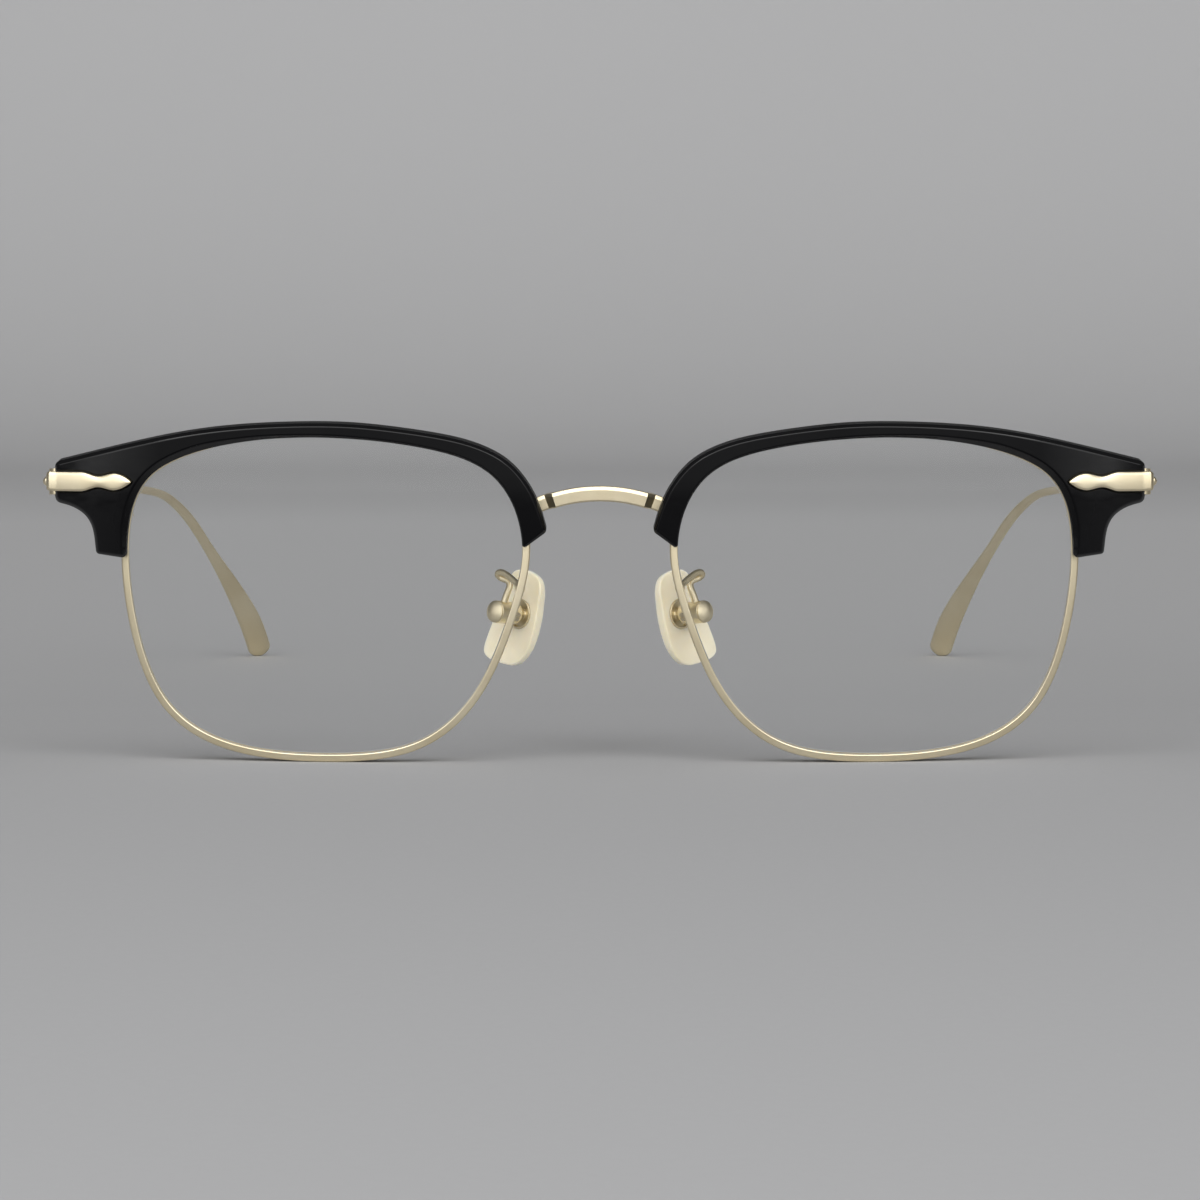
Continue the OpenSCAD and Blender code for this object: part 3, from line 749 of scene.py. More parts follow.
def browShape():
    b = browPlan
    h, cut, bend = (b["steps"][name] for name in ("corner", "cut", "bend"))
    outer, corners, marks, ends = browStations()
    count = len(outer) - 1
    far = [0.0]
    for p, q in zip(outer, outer[1:]):
        far.append(far[-1] + (q - p).length)

    # Points of an inner edge, one across from each point of the outer edge
    def innerRow(start, stop, edgeAt):
        spots = (start, *b["spots"], stop)
        row = []
        for i in range(count + 1):
            j = 0 if i <= marks[1] else 1 if i <= marks[2] else 2
            share = (far[i] - far[marks[j]]) / (far[marks[j + 1]] - far[marks[j]])
            row.append(edgeAt(mixed(spots[j], spots[j + 1], share)))
        return row

    inner = innerRow(*ends, browInner)
    inner[:h + 1] = corners["tip"][h::-1]
    inner[-h - 1:] = corners["toe"][:h - 1:-1]
    rebate = innerRow(*browEnds(browRebate), browRebate)
    legLine = [mixed(corners["leg"][-1], rebate[-1], k / cut) for k in range(1, cut + 1)]
    noseLine = [mixed(corners["nose"][0], rebate[0], k / cut) for k in range(1, cut + 1)]
    legEnd = corners["leg"][h + 1:] + legLine + corners["toe"][:h]
    noseEnd = corners["nose"][h - 1::-1] + noseLine + corners["tip"][:h:-1]
    legBack = legEnd[:-h] + [rebate[-1]] * h
    noseBack = noseEnd[:-h] + [rebate[0]] * h
    across = len(legEnd) + 1

    def closed(inside, legCap, noseCap):
        return outer + legCap + inside[::-1] + noseCap[::-1]

    face, back = closed(inner, legEnd, noseEnd), closed(rebate, legBack, noseBack)
    faceWays, backWays = lineWays(face), lineWays(back)
    # Bevel width at each point of the loop
    outside = [stepped(far[i] / far[-1], bevelPlan["outer"]) for i in range(count + 1)]
    inside = [stepped(p.x, bevelPlan["inner"]) * (stepped(p.y, bevelPlan["leg"]) if i > marks[1] else 1)
              for i, p in enumerate(inner)]
    legWide = [mixed(outside[-1], inside[-1], (k + 1) / across) for k in range(across - 1)]
    noseWide = [mixed(outside[0], inside[0], (k + 1) / across) for k in range(across - 1)]
    wide = outside + legWide + inside[::-1] + noseWide[::-1]

    rings = []
    for inset, ahead in ((b["backEdge"], b["back"]), (b["backCrest"], b["back"] + b["backCrest"]),
                         (0, b["back"] + b["backEdge"]), (0, b["ledge"])):
        rings.append([onShell(p + way * inset, ahead) for p, way in zip(back, backWays)])
    rings.append([onShell(p, b["ledge"]) for p in face])
    columns = [bevelColumn(*row) for row in zip(face, faceWays, wide)]
    rings += [list(ring) for ring in zip(*columns)]
    points, faces = skinned(rings, capped=False)
    total = len(face)

    # Grid of faces inside the loop that starts at point number base
    def fill(base, ahead):
        def rim(i, k):
            if k == 0:
                return base + i
            if k == across:
                return base + count + across + (count - i)
            if i == count:
                return base + count + k
            if i == 0:
                return base + total - k
            return None

        flat = [Vector((points[base + j].x, points[base + j].z)) for j in range(total)]
        grid = {}
        for i in range(count + 1):
            for k in range(across + 1):
                known = rim(i, k)
                if known is not None:
                    grid[i, k] = known
                    continue
                share = k / across
                spot = mixed(flat[rim(i, 0) - base], flat[rim(i, across) - base], share)
                for end, near in ((0, max(0, 1 - i / bend)), (count, max(0, 1 - (count - i) / bend))):
                    line = mixed(flat[rim(end, 0) - base], flat[rim(end, across) - base], share)
                    spot = spot + (flat[rim(end, k) - base] - line) * near
                grid[i, k] = len(points)
                points.append(onShell(spot, ahead))
        for i in range(count):
            for k in range(across):
                faces.append((grid[i, k], grid[i + 1, k], grid[i + 1, k + 1], grid[i, k + 1]))

    fill(0, b["back"])
    fill((len(rings) - 1) * total, b["front"])
    return points, faces


# Arrow plates: outline shared by the brow's recess and the plate itself

platePlan = {
    "place": Vector((71.0, 36.15)),
    "slope": math.radians(-1.8),
    "band": 1.22,               # half widths
    "waist": 0.68,
    "lobe": 1.06,
    "shoulderAt": 3.9,          # distances from the band's end
    "waistAt": 6.2,
    "lobeAt": 8.3,
    "tip": 10.6,
    "tipBelly": 1.8,            # how full the lobe stays, and how sharp it ends
    "tipPoint": 0.9,
    "stand": 0.5,
    "thick": 0.88,
    "bevel": 0.26,
    "bevelDrop": 0.8,
    "crown": 0.05,
    "soft": 0.05,
    "least": 0.004,
}
recessPlan = {
    "deep": 0.4,
    "gap": 0.15,
    "lip": 0.15,
    "step": 0.2,
    "over": 0.02,
    "top": 4.2,
}


def plateHalf(x):
    p = platePlan
    if x < p["waistAt"]:
        return mixed(p["band"], p["waist"], rampUp(x, p["shoulderAt"], p["waistAt"]))
    if x < p["lobeAt"]:
        return mixed(p["waist"], p["lobe"], rampUp(x, p["waistAt"], p["lobeAt"]))
    left = max(0.0, 1 - ((x - p["lobeAt"]) / (p["tip"] - p["lobeAt"])) ** p["tipBelly"])
    return p["lobe"] * left ** p["tipPoint"]


def plateSpot(x, side):
    s = platePlan["slope"]
    return platePlan["place"] + Vector((-x * math.cos(s) + side * math.sin(s),
                                        -x * math.sin(s) + side * math.cos(s)))


def recessCutter():
    p, c = platePlan, recessPlan
    face = browPlan["front"]
    steps = int((p["tip"] - p["shoulderAt"]) / c["step"]) + 1
    flank = [(x, plateHalf(x)) for x in [0.0] + [p["shoulderAt"] + c["step"] * k for k in range(steps)]]
    loop = ([plateSpot(x, side) for x, side in flank] + [plateSpot(p["tip"], 0)]
            + [plateSpot(x, -side) for x, side in flank[::-1]])
    # The loop runs anticlockwise seen from the front, so the inward ways point out of it
    ways = inwardWays(loop)
    rows = ((c["gap"], face - c["deep"]), (c["gap"], face - c["lip"] + c["over"]),
            (c["gap"] + c["lip"], face + c["over"]), (c["gap"] + c["lip"], c["top"]))
    return skinned([[onShell(q + way * grow, ahead) for q, way in zip(loop, ways)]
                    for grow, ahead in rows])


def rod(radius, low, high, frameTurn, count=40):
    return moved(turned([(0, low), (radius, low), (radius, high), (0, high)], count, False), frameTurn)


alongX = turnBy(90, "Y")
bandPlan = {
    "centre": Vector((-0.05, -5.05, 0)),    # middle of the band's rounded corner, from the hinge
    "turn": 0.9,
    "gap": 0.05,
    "rivetAhead": 3.4,
    "screwPlace": (66.3, 36.3),
    "tabScrewPlace": (8.35, 30.55),
}
# Radius of each hole, and from where to where it is cut
browHoles = {
    "post": (0.9, 0, 3.6),
    "tabScrew": (0.47, 0, 2.6),
    "rivet": (0.47, -3, 1),
}
rivetLine = hingeFrame @ Matrix.Translation((0, -bandPlan["rivetAhead"], 0)) @ alongX
bandCorner = hingeFrame @ Matrix.Translation(bandPlan["centre"])
bandHigh = platePlan["band"] + bandPlan["gap"]
browCutters = [
    recessCutter(),
    rod(bandPlan["turn"] + bandPlan["gap"], -bandHigh, bandHigh, bandCorner),
    rod(*browHoles["post"], squareToShell(bandPlan["screwPlace"], -1)),
    rod(*browHoles["tabScrew"], squareToShell(bandPlan["tabScrewPlace"], -1)),
    rod(*browHoles["rivet"], rivetLine),
]
browBall = (ballCentre, front["baseRadius"] + browPlan["front"])
placePair("brow", carved(meshOf(browShape()), browCutters), "front", "black_acetate", sharp=32,
          balls=[browBall])
print("stage: brow pieces")

# Bridge

bridgePlan = {
    "peak": 36.15,
    "archRadius": 21.0,
    "tall": 1.95,
    "faces": [(0.0, 0.1), (6.2, 0.3), (7.2, 1.42), (10.6, 1.42)],
    "backs": [(0.0, 1.2), (5.8, 1.4), (6.7, 2.5), (10.6, 2.5)],
    "topBevel": 0.4,
    "topRun": 0.85,             # how far the top bevel runs back, for each millimetre down
    "lowBevel": 0.2,
    "backBevel": 0.14,
    "round": 0.07,
    "stations": [0.0, 0.5, 1.0, 1.5, 2.0, 2.5, 3.0, 3.5, 4.0, 4.5, 5.0, 5.5, 5.8, 6.0, 6.15, 6.2, 6.25,
                 6.4, 6.65, 6.7, 6.75, 7.0, 7.15, 7.2, 7.25, 7.5, 8.0, 8.6, 9.2, 9.8, 10.2],
}


def bridgeRing(across):
    b = bridgePlan
    lean = math.asin(across / b["archRadius"])
    top = Vector((across, b["peak"] - b["archRadius"] * (1 - math.cos(lean))))
    down = Vector((-math.sin(lean), -math.cos(lean)))
    face, back = stepped(abs(across), b["faces"]), stepped(abs(across), b["backs"])
    tall, c, low, rear = b["tall"], b["topBevel"], b["lowBevel"], b["backBevel"]
    section = softLoop([(face, c), (face + c * b["topRun"], 0), (back - rear, 0), (back, rear),
                        (back, tall - rear), (back - rear, tall), (face + low, tall), (face, tall - low)],
                       b["round"], 3)
    spots = [(depth, top + down * drop) for depth, drop in section]
    return [Vector((spot.x, depth, spot.y)) for depth, spot in spots]


bridgeStations = [-x for x in bridgePlan["stations"][:0:-1]] + bridgePlan["stations"]
place("bridge", meshOf(skinned([bridgeRing(x) for x in bridgeStations])), frontToRow, "front",
      "champagne_metal", sharp=30)
print("stage: bridge")

# End pieces: arrow plate, band round the brow's end, and hinge barrels

barrelPlan = {
    "radius": 1.15,
    "half": 1.7,
    "gapHalf": 0.65,
    "bore": 0.47,
    "headBore": 0.82,
    "headDeep": 0.3,
    "edge": 0.07,
    "headEdge": 0.03,
}
stripPlan = {
    "plate": [10.6, 10.57, 10.52, 10.44, 10.33, 10.2, 10.0, 9.75, 9.45, 9.1, 8.7, 8.3, 7.9, 7.5, 7.1,
              6.7, 6.4, 6.2, 6.0, 5.7, 5.4, 5.1, 4.8, 4.5, 4.2, 3.9, 3.4, 2.8, 2.1, 1.4, 0.8, 0.4],
    "corner": range(28, 91, 7),     # degrees round the corner
    "behind": (0.3, 1.2, 2.4, 3.4, 4.2, 5.05),
    "barrelRoom": 0.15,
    "boreHalf": 4,
    "rivetHole": (0.42, -3, 1),     # radius, and from where to where
    "post": (0.85, 0, 1.95),
    "postAhead": 0.9,
}


# Section across the plate or the band: crowned top, bevels and straight sides
def plateSection(half, bevel):
    p = platePlan
    deep = bevel * p["bevelDrop"]
    top = [((half - bevel) * n / 4, -p["crown"] * (n / 4) ** 2) for n in range(-4, 5)]
    corners = [(-half, -p["thick"]), (-half, -deep), *top, (half, -deep), (half, -p["thick"])]
    return softLoop(corners, min(p["soft"], half * 0.2), 3)


# Section of the arrow plate at a distance from the band's end
def plateRing(x):
    p = platePlan
    half = max(plateHalf(x), p["least"])
    bevel = min(p["bevel"], half * 0.55)
    lift = browPlan["front"] + p["stand"]
    return [onShell(plateSpot(x, side), lift + rise) for side, rise in plateSection(half, bevel)]


# Section of the band round its corner, or behind it on the way to the hinge
def bandRing(angle, back):
    ring = []
    turn = math.radians(angle)
    for side, rise in plateSection(platePlan["band"], platePlan["bevel"]):
        r = max(bandPlan["turn"] + rise, 0.02)
        spot = bandPlan["centre"] + Vector((r * math.sin(turn), -r * math.cos(turn) + back, side))
        ring.append(hingeFrame @ spot)
    return ring


# One knuckle of the hinge, its bore wide enough for the screw's head at one end
def barrelShape(low, high, head):
    b = barrelPlan
    radius, e, soft = b["radius"], b["edge"], b["edge"] * 0.3
    outside = [(radius - e, low), (radius - soft, low + soft), (radius, low + e),
               (radius, high - e), (radius - soft, high - soft), (radius - e, high)]
    inside = [(b["bore"], high), (b["bore"], low)]
    if head:
        floor = high - b["headDeep"]
        inside = [(b["headBore"] + b["headEdge"], high), (b["headBore"], high - b["headEdge"]),
                  (b["headBore"], floor), (b["bore"], floor), (b["bore"], low)]
    return moved(turned(outside + inside, 48, True), hingeFrame)


def endPieceMesh():
    s, b = stripPlan, barrelPlan
    rings = [plateRing(x) for x in s["plate"]]
    rings += [bandRing(angle, 0) for angle in s["corner"]]
    rings += [bandRing(90, back) for back in s["behind"]]
    cutters = [rod(b["radius"] + s["barrelRoom"], -b["gapHalf"], b["gapHalf"], hingeFrame),
               rod(b["bore"], -s["boreHalf"], s["boreHalf"], hingeFrame),
               rod(*s["rivetHole"], rivetLine)]
    strip = carved(meshOf(skinned(rings)), cutters)
    made = bmesh.new()
    made.from_mesh(strip)
    made.from_mesh(meshOf(barrelShape(-b["half"], -b["gapHalf"], False)))
    made.from_mesh(meshOf(barrelShape(b["gapHalf"], b["half"], True)))
    made.from_mesh(meshOf(rod(*s["post"], squareToShell(bandPlan["screwPlace"], s["postAhead"]))))
    made.to_mesh(strip)
    made.free()
    return strip


placePair("end_piece", endPieceMesh(), "front", "champagne_metal", sharp=30)

rivetPlan = {
    "radius": 0.4,
    "dome": 0.62,
    "face": 0.85,
    "foot": -2.6,
    "edge": 0.06,
    "lift": 0.02,
    "brim": 0.03,
}


def rivetShape():
    p = rivetPlan
    dome = []
    for degrees in range(0, 91, 10):
        a = math.radians(degrees)
        dome.append((p["dome"] * math.cos(a), p["face"] + p["lift"] + p["dome"] * math.sin(a)))
    profile = [(0, p["foot"]), (p["radius"] - p["edge"], p["foot"]),
               (p["radius"], p["foot"] + p["edge"]), (p["radius"], p["face"]),
               (p["dome"] - p["brim"], p["face"])] + dome
    return moved(turned(profile, 40, False), rivetLine)


placePair("end_rivet", meshOf(rivetShape()), "front", "champagne_metal")
print("stage: end pieces")

# Temples

templePlan = {
    "route": [(0, 5, 0), (0, 24, 0), (0, 43, 0), (0, 62, 0), (-0.1, 79, 0), (-0.8, 90, -0.1),
              (-2.4, 97.3, -0.6), (-4.0, 102.7, -2.0), (-6.0, 107.4, -4.7), (-8.1, 112.3, -8.7),
              (-10.2, 117.2, -12.9), (-12.2, 122.0, -17.2), (-13.8, 126.6, -21.4), (-14.8, 130.5, -25.4)],
    # Rows of: where it counts from, the measure before and after, and between which places it changes
    "wide": [(0, 2.4, 1.2, 5, 38), (79, 1.2, 1.6, 96, 110), (112, 1.6, 3.7, 111, 128.5)],
    "thick": [(0, 1.0, 1.2, 5, 38), (79, 1.2, 1.0, 100, 120)],
    "square": [(0, 5, 2.6, 5, 38)],     # power of the section's outline: flat, then nearly round
    "turnToTip": (96, 116),
    "tipWide": 3.7,
    "tipThick": 1.0,
    "tipEdge": 0.35,
    "tipSquare": 2.6,
    "tipWay": Vector((-0.88, 0, 0.47)),
    "tipEnds": (0.995, 0.97, 0.93, 0.87, 0.78, 0.66, 0.5, 0.32, 0.14),
    "frontInset": 0.9,
    "frontEdge": Vector((0, 0.1, 0)),
    "around": 28,
}


# Ring of a rounded section square to a route
def routeRing(spot, along, wideWay, wide, thick, square, count):
    w = (wideWay - along * wideWay.dot(along)).normalized()
    t = along.cross(w)
    ring = []
    for k in range(count):
        a = -math.tau * k / count
        c, s = math.cos(a), math.sin(a)
        ring.append(spot + w * (wide / 2 * math.copysign(abs(c) ** (2 / square), c))
                    + t * (thick / 2 * math.copysign(abs(s) ** (2 / square), s)))
    return ring


# Each point of a smooth route with the way that the route has there
def routeSteps(route, steps):
    line = smoothCurve(route, steps, False)
    last = len(line) - 1
    return [(spot, (line[min(i + 1, last)] - line[max(i - 1, 0)]).normalized())
            for i, spot in enumerate(line)]


def measureAt(y, rows):
    for begin, before, after, start, stop in rows:
        if y >= begin:
            measure = mixed(before, after, rampUp(y, start, stop))
    return measure


def templeShape():
    t = templePlan
    rings = []
    for spot, along in routeSteps(t["route"], 10):
        wide, thick, square = (measureAt(spot.y, t[name]) for name in ("wide", "thick", "square"))
        wideWay = mixed(Vector((0, 0, 1)), t["tipWay"], rampUp(spot.y, *t["turnToTip"]))
        rings.append(routeRing(spot, along, wideWay, wide, thick, square, t["around"]))
    for share in t["tipEnds"]:
        ahead = t["tipWide"] / 2 * math.sqrt(1 - share ** 2)
        rings.append(routeRing(spot + along * ahead, along, t["tipWay"], t["tipWide"] * share,
                               t["tipThick"] * mixed(t["tipEdge"], 1, share), t["tipSquare"], t["around"]))
    # The front end, eased in where it meets the hinge block
    start = rings[0]
    middle = sum(start, Vector((0, 0, 0))) / len(start)
    rings[0] = [p + t["frontEdge"] for p in start]
    rings.insert(0, [middle + (p - middle) * t["frontInset"] for p in start])
    return moved(skinned(rings), hingeFrame)


placePair("temple", meshOf(templeShape()), "temple", "champagne_metal", sharp=35)

knucklePlan = {
    "half": 0.6,
    "bore": 0.49,
    "neck": ((-0.5, 0.75, -0.58), (0.5, 2.0, 0.58), 0.06),      # two corners, and the edges' bevel
    "block": ((-0.5, 1.4, -1.2), (0.5, 5.0, 1.2), 0.12),
}


def knuckleShape():
    half, bore = knucklePlan["half"], knucklePlan["bore"]
    radius, e = barrelPlan["radius"], barrelPlan["edge"]
    profile = [(radius - e, -half), (radius, -half + e), (radius, half - e), (radius - e, half),
               (bore, half), (bore, -half)]
    return joined(turned(profile, 48, True), softBox(*knucklePlan["neck"]), softBox(*knucklePlan["block"]))


placePair("temple_hinge", meshOf(moved(knuckleShape(), hingeFrame)), "temple", "champagne_metal",
          sharp=35)
print("stage: temples")

# Nose pads, their arms and boxes

armPlan = {
    "route": [(10.3, 1.5, 22.6), (10.8, 2.6, 23.2), (11.8, 4.0, 23.9), (12.8, 5.1, 24.3),
              (13.3, 5.6, 24.0), (12.9, 5.7, 23.5), (12.1, 5.4, 23.2), (11.75, 5.0, 22.6),
              (12.1, 4.5, 21.6), (12.55, 4.05, 20.31)],
    "thick": 0.86,
    "flare": 0.5,               # solder thickens the foot on the rim, over the first steps
    "flareSteps": 7,
    "way": Vector((1, 0.2, 1)),
    "around": 24,
}


def armShape():
    rings = []
    for i, (spot, along) in enumerate(routeSteps(armPlan["route"], 8)):
        flare = armPlan["flare"] * (1 - rampUp(i, 0, armPlan["flareSteps"]))
        thick = armPlan["thick"] * (1 + flare)
        rings.append(routeRing(spot, along, armPlan["way"], thick, thick, 2, armPlan["around"]))
    return skinned(rings)


placePair("pad_arm", meshOf(armShape()), "front", "champagne_metal")

boxPlan = {
    "radius": 1.45,
    "start": 0.8,
    "seam": 4.5,
    "end": 5.25,
    "ball": 1.95,               # radius of its domed end
    "domeInset": 0.06,
    "domeSteps": 8,
    "bore": 1.02,
    "boreEnd": 3.6,
    "groove": (1.22, 1.41),
    "grooveDeep": 0.09,
    "grooveSlope": 0.05,
    "pinBore": (0.37, -3, 3),   # radius, and from where to where
}


def boxShape():
    b = boxPlan
    r, g, bore, start, seam = b["radius"], b["grooveDeep"], b["bore"], b["start"], b["seam"]
    nearGroove, farGroove = b["groove"]
    slope = b["grooveSlope"]
    profile = [(0, b["boreEnd"]), (bore, b["boreEnd"]), (bore, start + 0.04), (bore + 0.05, start),
               (r - 0.09, start), (r - 0.03, start + 0.03), (r, start + 0.09),
               (r, nearGroove), (r - g, nearGroove + slope), (r - g, farGroove - slope), (r, farGroove),
               (r, seam - 0.08), (r - 0.05, seam - 0.02), (r - 0.13, seam), (r - 0.13, seam + 0.04)]
    domeFrom = math.asin((r - b["domeInset"]) / b["ball"])
    for n in range(b["domeSteps"] + 1):
        a = domeFrom * (1 - n / b["domeSteps"])
        profile.append((b["ball"] * math.sin(a), b["end"] - b["ball"] + b["ball"] * math.cos(a)))
    return moved(turned(profile, 64, False), padFrame @ alongX)


pinLine = padFrame @ Matrix.Translation((padPlan["pivot"], 0, 0)) @ turnBy(90, "X")
padBox = carved(meshOf(boxShape()), [rod(*boxPlan["pinBore"], pinLine)])
placePair("pad_box", padBox, "front", "champagne_metal", sharp=32)

corePlan = {
    "cup": 1.95,
    "deep": 0.6,
    "floor": 0.25,
    "wall": 0.3,
    "lip": 0.15,
    "post": 0.8,
    "postDeep": 0.35,
    "root": 0.85,               # where the tongue grows out of the cup's floor
    "rootEnd": 0.5,
    "edge": 0.05,
    "tongue": ((-0.2, -0.4, -0.6), (2.3, 0.4, 0.6), 0.08),      # two corners, and the edges' bevel
    "eye": 0.75,
    "eyeHalf": 0.4,
    "eyeEdge": 0.06,
    "pinBore": (0.39, -2, 2),
}


def cupShape():
    c = corePlan
    r, post, e, lip, low = c["cup"], c["post"], c["edge"], c["lip"], -c["deep"]
    foot, floor, inner = low - c["postDeep"], c["floor"] - c["deep"], c["cup"] - c["wall"]
    profile = [(0, foot), (post - e, foot), (post, foot + e), (post, low), (r - e, low), (r, low + e),
               (r, lip - 0.1), (r - 0.03, lip - 0.03), (r - 0.1, lip),
               (inner + 0.08, lip), (inner + 0.02, lip - 0.03), (inner, lip - 0.1),
               (inner, floor + 0.08), (inner - 0.08, floor), (c["root"], floor),
               (c["root"] - e, floor + e), (c["root"] - e, c["rootEnd"] - e),
               (c["root"] - 2 * e, c["rootEnd"]), (0, c["rootEnd"])]
    return moved(turned(profile, 64, False), padFrame @ alongX)


def coreMesh():
    c = corePlan
    e, half = c["eyeEdge"], c["eyeHalf"]
    disc = [(0, -half), (c["eye"] - e, -half), (c["eye"], e - half), (c["eye"], half - e),
            (c["eye"] - e, half), (0, half)]
    pinHole = rod(*c["pinBore"], pinLine)
    cup = meshOf(cupShape())
    core = bmesh.new()
    core.from_mesh(cup)
    core.from_mesh(carved(meshOf(moved(softBox(*c["tongue"]), padFrame)), [pinHole]))
    core.from_mesh(carved(meshOf(moved(turned(disc, 40, False), pinLine)), [pinHole]))
    core.to_mesh(cup)
    core.free()
    return cup


placePair("pad_core", coreMesh(), "pad", "champagne_metal", sharp=32)

padShape = {
    "width": 7.8,
    "height": 12.9,
    "thick": 1.75,
    "crown": 30.0,
    "middle": Vector((0.6, -0.7)),
    "outline": [(-0.08, 1), (0.33, 0.975), (0.63, 0.87), (0.75, 0.66), (0.84, 0.15), (0.93, -0.24),
                (1, -0.6), (1, -0.84), (0.85, -0.96), (0.46, -1), (-0.1, -0.975), (-0.47, -0.93),
                (-0.77, -0.79), (-0.95, -0.55), (-1, -0.28), (-0.96, 0.13), (-0.88, 0.42), (-0.82, 0.65),
                (-0.69, 0.85), (-0.46, 0.96)],
    "faceEdge": 0.22,
    "noseEdge": 0.42,
    "coreGap": 0.02,
    "holeEdge": 0.06,
    "faceShares": (0.12, 0.35, 0.65, 0.9),      # rows from the hole out to the edge
    "noseShares": (0.85, 0.65, 0.45, 0.25, 0.1, 0),     # and from the other edge to the middle
    "edgeTurns": (0, 22, 45, 68, 90),
}


def padMesh():
    s, c = padShape, corePlan
    m, gap = s["middle"], s["coreGap"]
    loop = smoothCurve([(m.x + y * s["width"] / 2, m.y + z * s["height"] / 2) for y, z in s["outline"]],
                       6, True)
    ways = inwardWays(loop)

    # Depth of the curved side, which lies on the nose
    def back(spot):
        away = spot - m
        return s["crown"] - s["thick"] - math.sqrt(s["crown"] ** 2 - away.x ** 2 - away.y ** 2)

    # Loop set in from the edge, at a rise from the flat face or from the curved side
    def ring(inset, rise, behind):
        made = []
        for p, way in zip(loop, ways):
            spot = p + way * inset
            made.append(Vector(((back(spot) if behind else 0) + rise, spot.x, spot.y)))
        return made

    angles = [math.atan2(p.y, p.x) for p in loop]

    def circle(radius, depth):
        return [Vector((depth, radius * math.cos(a), radius * math.sin(a))) for a in angles]

    hole, post, floor = c["cup"] + gap, c["post"] + gap, -c["deep"] - gap
    rings = [circle(0, floor - c["postDeep"]), circle(post, floor - c["postDeep"]), circle(post, floor),
             circle(hole, floor), circle(hole, -s["holeEdge"]), circle(hole + s["holeEdge"], 0)]
    rim = rings[-1]
    f, n = s["faceEdge"], s["noseEdge"]
    flat = ring(f, 0, False)
    rings += [[mixed(p, q, t) for p, q in zip(rim, flat)] for t in s["faceShares"]]
    turns = [math.radians(a) for a in s["edgeTurns"]]
    rings += [ring(f * (1 - math.sin(a)), -f * (1 - math.cos(a)), False) for a in turns]
    rings += [ring(n * (1 - math.sin(a)), n * (1 - math.cos(a)), True) for a in turns[::-1]]
    for t in s["noseShares"]:
        spots = [m + (p + way * n - m) * t for p, way in zip(loop, ways)]
        rings.append([Vector((back(spot), spot.x, spot.y)) for spot in spots])
    return meshOf(moved(skinned(rings, capped=False), padFrame))


placePair("nose_pad", padMesh(), "pad", "pad_plastic", sharp=40)
print("stage: nose pads")

# Small fittings that keep their solids

fittingPlan = {
    "champagne_metal": {"edge": 0.13, "pieces": ["brow_tab", "lock_upper", "lock_lower"]},
    "screw_steel": {"edge": 0.05,
                    "pieces": ["brow_screw", "end_screw", "hinge_screw", "lock_screw", "pad_screw"]},
}
softAngle = 40      # degrees between two faces from which their edge is softened
for finish, plan in fittingPlan.items():
    for name in [piece + "_" + side for piece in plan["pieces"] for side in sideFrames]:
        fitting = frame["nodes"][name]
        fitting.data.materials.clear()
        fitting.data.materials.append(finishes[finish])
        soft = fitting.modifiers.new("edge", "BEVEL")
        soft.width = plan["edge"] * mm
        soft.segments = 3
        soft.limit_method = "ANGLE"
        soft.angle_limit = math.radians(softAngle)
print("stage: fittings")

# Floor, light and camera, in metres

stagePlan = {
    "half": 1.6,
    "near": -1.4,
    "wallAt": 0.9,
    "turn": 0.25,               # radius of the bend from floor to wall
    "high": 0.32,
    # Painted light: the wall's tone is lighter than the floor's on one sweep of paper, making up for the
    # lamps lighting it less
    "floorTone": (0.35, 0.35, 0.355, 1),
    "wallTone": (0.56, 0.56, 0.565, 1),
    "paintedLightFrom": (0, 0.4),       # painted light: the floor's colour grows lighter between these places behind the glasses, up to the wall's tone
    "roughness": (0.84, 0.95),
    "rubbed": (900, 3),
    "fibre": (1500, 4),
    "bump": (0.0001, 0.05),
    "shine": 0.1,
}
s = stagePlan
profile = [(s["near"], 0.0), (0.0, 0.0), (s["wallAt"] - s["turn"], 0.0)]
for a in range(10, 91, 10):
    turn = math.radians(a)
    profile.append((s["wallAt"] - s["turn"] * (1 - math.sin(turn)), s["turn"] * (1 - math.cos(turn))))
profile.append((s["wallAt"], s["high"]))
points = [Vector((x, y, z)) for y, z in profile for x in (-s["half"], s["half"])]
faces = [(2 * i, 2 * i + 1, 2 * i + 3, 2 * i + 2) for i in range(len(profile) - 1)]
floorMesh = bpy.data.meshes.new("floor")
floorMesh.from_pydata(points, [], faces)
floorMesh.polygons.foreach_set("use_smooth", [True] * len(faces))
shown("floor", floorMesh)


def paperMaterial(look):
    material, tree, shader = nodeMaterial("paper")
    spot = nodeOf(tree, "TexCoord", {}).outputs["Object"]
    behind = nodeOf(tree, "SeparateXYZ", {"Vector": spot}).outputs["Y"]
    # Painted light: the colour lightens from the floor's tone to the wall's tone going back
    share = rangeOf(tree, behind, 0, 1, *look["paintedLightFrom"])
    feed(shader, {
        "Base Color": mixOf(tree, "RGBA", share, look["floorTone"], look["wallTone"]),
        "Roughness": roughOf(tree, look),
        "Specular IOR Level": look["shine"],
        "Normal": bumpOf(tree, look["fibre"], look["bump"]),
    })
    return material


floorMesh.materials.append(paperMaterial(stagePlan))

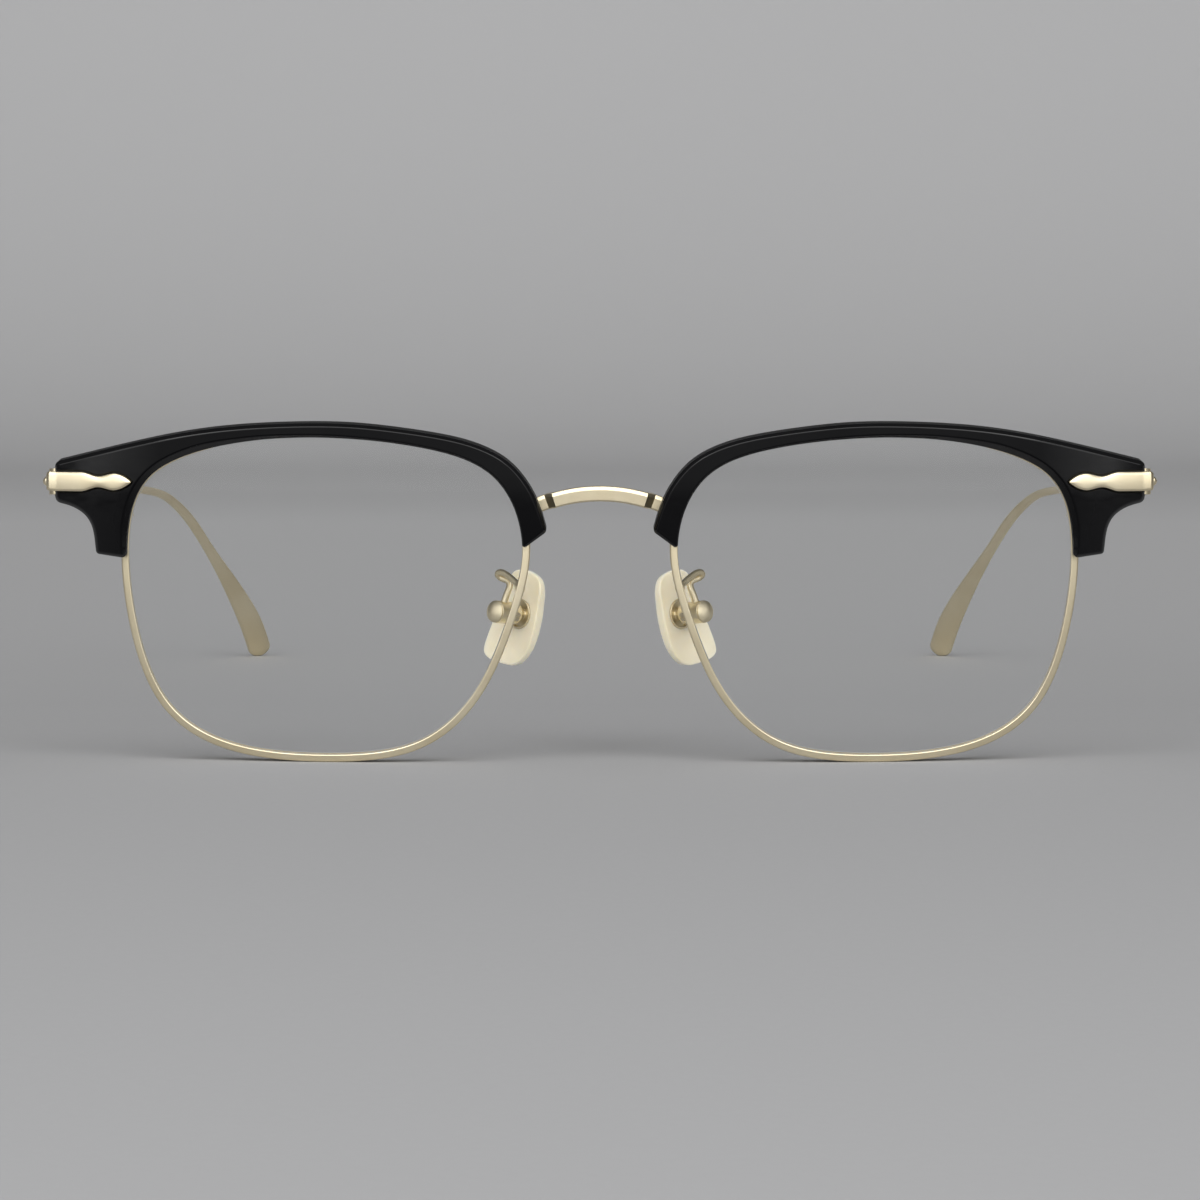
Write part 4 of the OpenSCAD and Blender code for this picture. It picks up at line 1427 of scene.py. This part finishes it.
# Soft boxes: the power grows with the area, so glow alone sets how bright a face looks
lightPlans = [
    {"name": "top", "place": (0.0, -0.62, 0.95), "aim": (0, 0, 0.02), "size": (1.6, 0.75), "glow": 2.6},
    {"name": "left", "place": (-0.66, -0.56, 0.62), "aim": (0, 0, 0.02), "size": (0.5, 0.5), "glow": 1.3},
    {"name": "right", "place": (0.66, -0.56, 0.62), "aim": (0, 0, 0.02), "size": (0.5, 0.5), "glow": 1.3},
    {"name": "front", "place": (0.0, -1.2, 0.48), "aim": (0, 0, 0.05), "size": (2.6, 0.9), "glow": 2.3},
]
for plan in lightPlans:
    lamp = bpy.data.lights.new(plan["name"], "AREA")
    lamp.shape = "RECTANGLE"
    lamp.size, lamp.size_y = plan["size"]
    lamp.energy = plan["glow"] * math.pi * lamp.size * lamp.size_y
    holder = shown(plan["name"], lamp)
    holder.location = plan["place"]
    way = Vector(plan["aim"]) - Vector(plan["place"])
    holder.rotation_euler = way.to_track_quat("-Z", "Y").to_euler()
    holder.visible_camera = False
    holder.visible_transmission = False

# The world shows the backdrop's grey to the eye, also through the lenses, and is dim as a light
worldPlan = {
    "seen": (0.38, 0.38, 0.385, 1),
    "dusk": (0.07, 0.07, 0.07, 1),
}
world = bpy.data.worlds.new("studio")
bpy.context.scene.world = world
world.use_nodes = True
sky = world.node_tree
path = nodeOf(sky, "LightPath", {}).outputs
seen = nodeOf(sky, "Math", {0: path["Is Camera Ray"], 1: path["Is Transmission Ray"]})
seen.operation = "MAXIMUM"
feed(sky.nodes["Background"], {
    "Color": mixOf(sky, "RGBA", seen.outputs["Value"], worldPlan["dusk"], worldPlan["seen"]),
})

cameraPlan = {
    "place": (0.0, -0.5669, 0.0646),
    "pitch": -4.96,
    "lens": 116.55,
    "sensor": 36.0,
}
eye = bpy.data.cameras.new("camera")
eye.lens = cameraPlan["lens"]
eye.sensor_width = cameraPlan["sensor"]
eye.clip_start = 0.01
camera = shown("camera", eye)
camera.location = cameraPlan["place"]
camera.rotation_euler = (math.radians(90 + cameraPlan["pitch"]), 0, 0)
bpy.context.scene.camera = camera
bpy.context.scene.view_settings.view_transform = "Standard"
print("stage: light and camera")
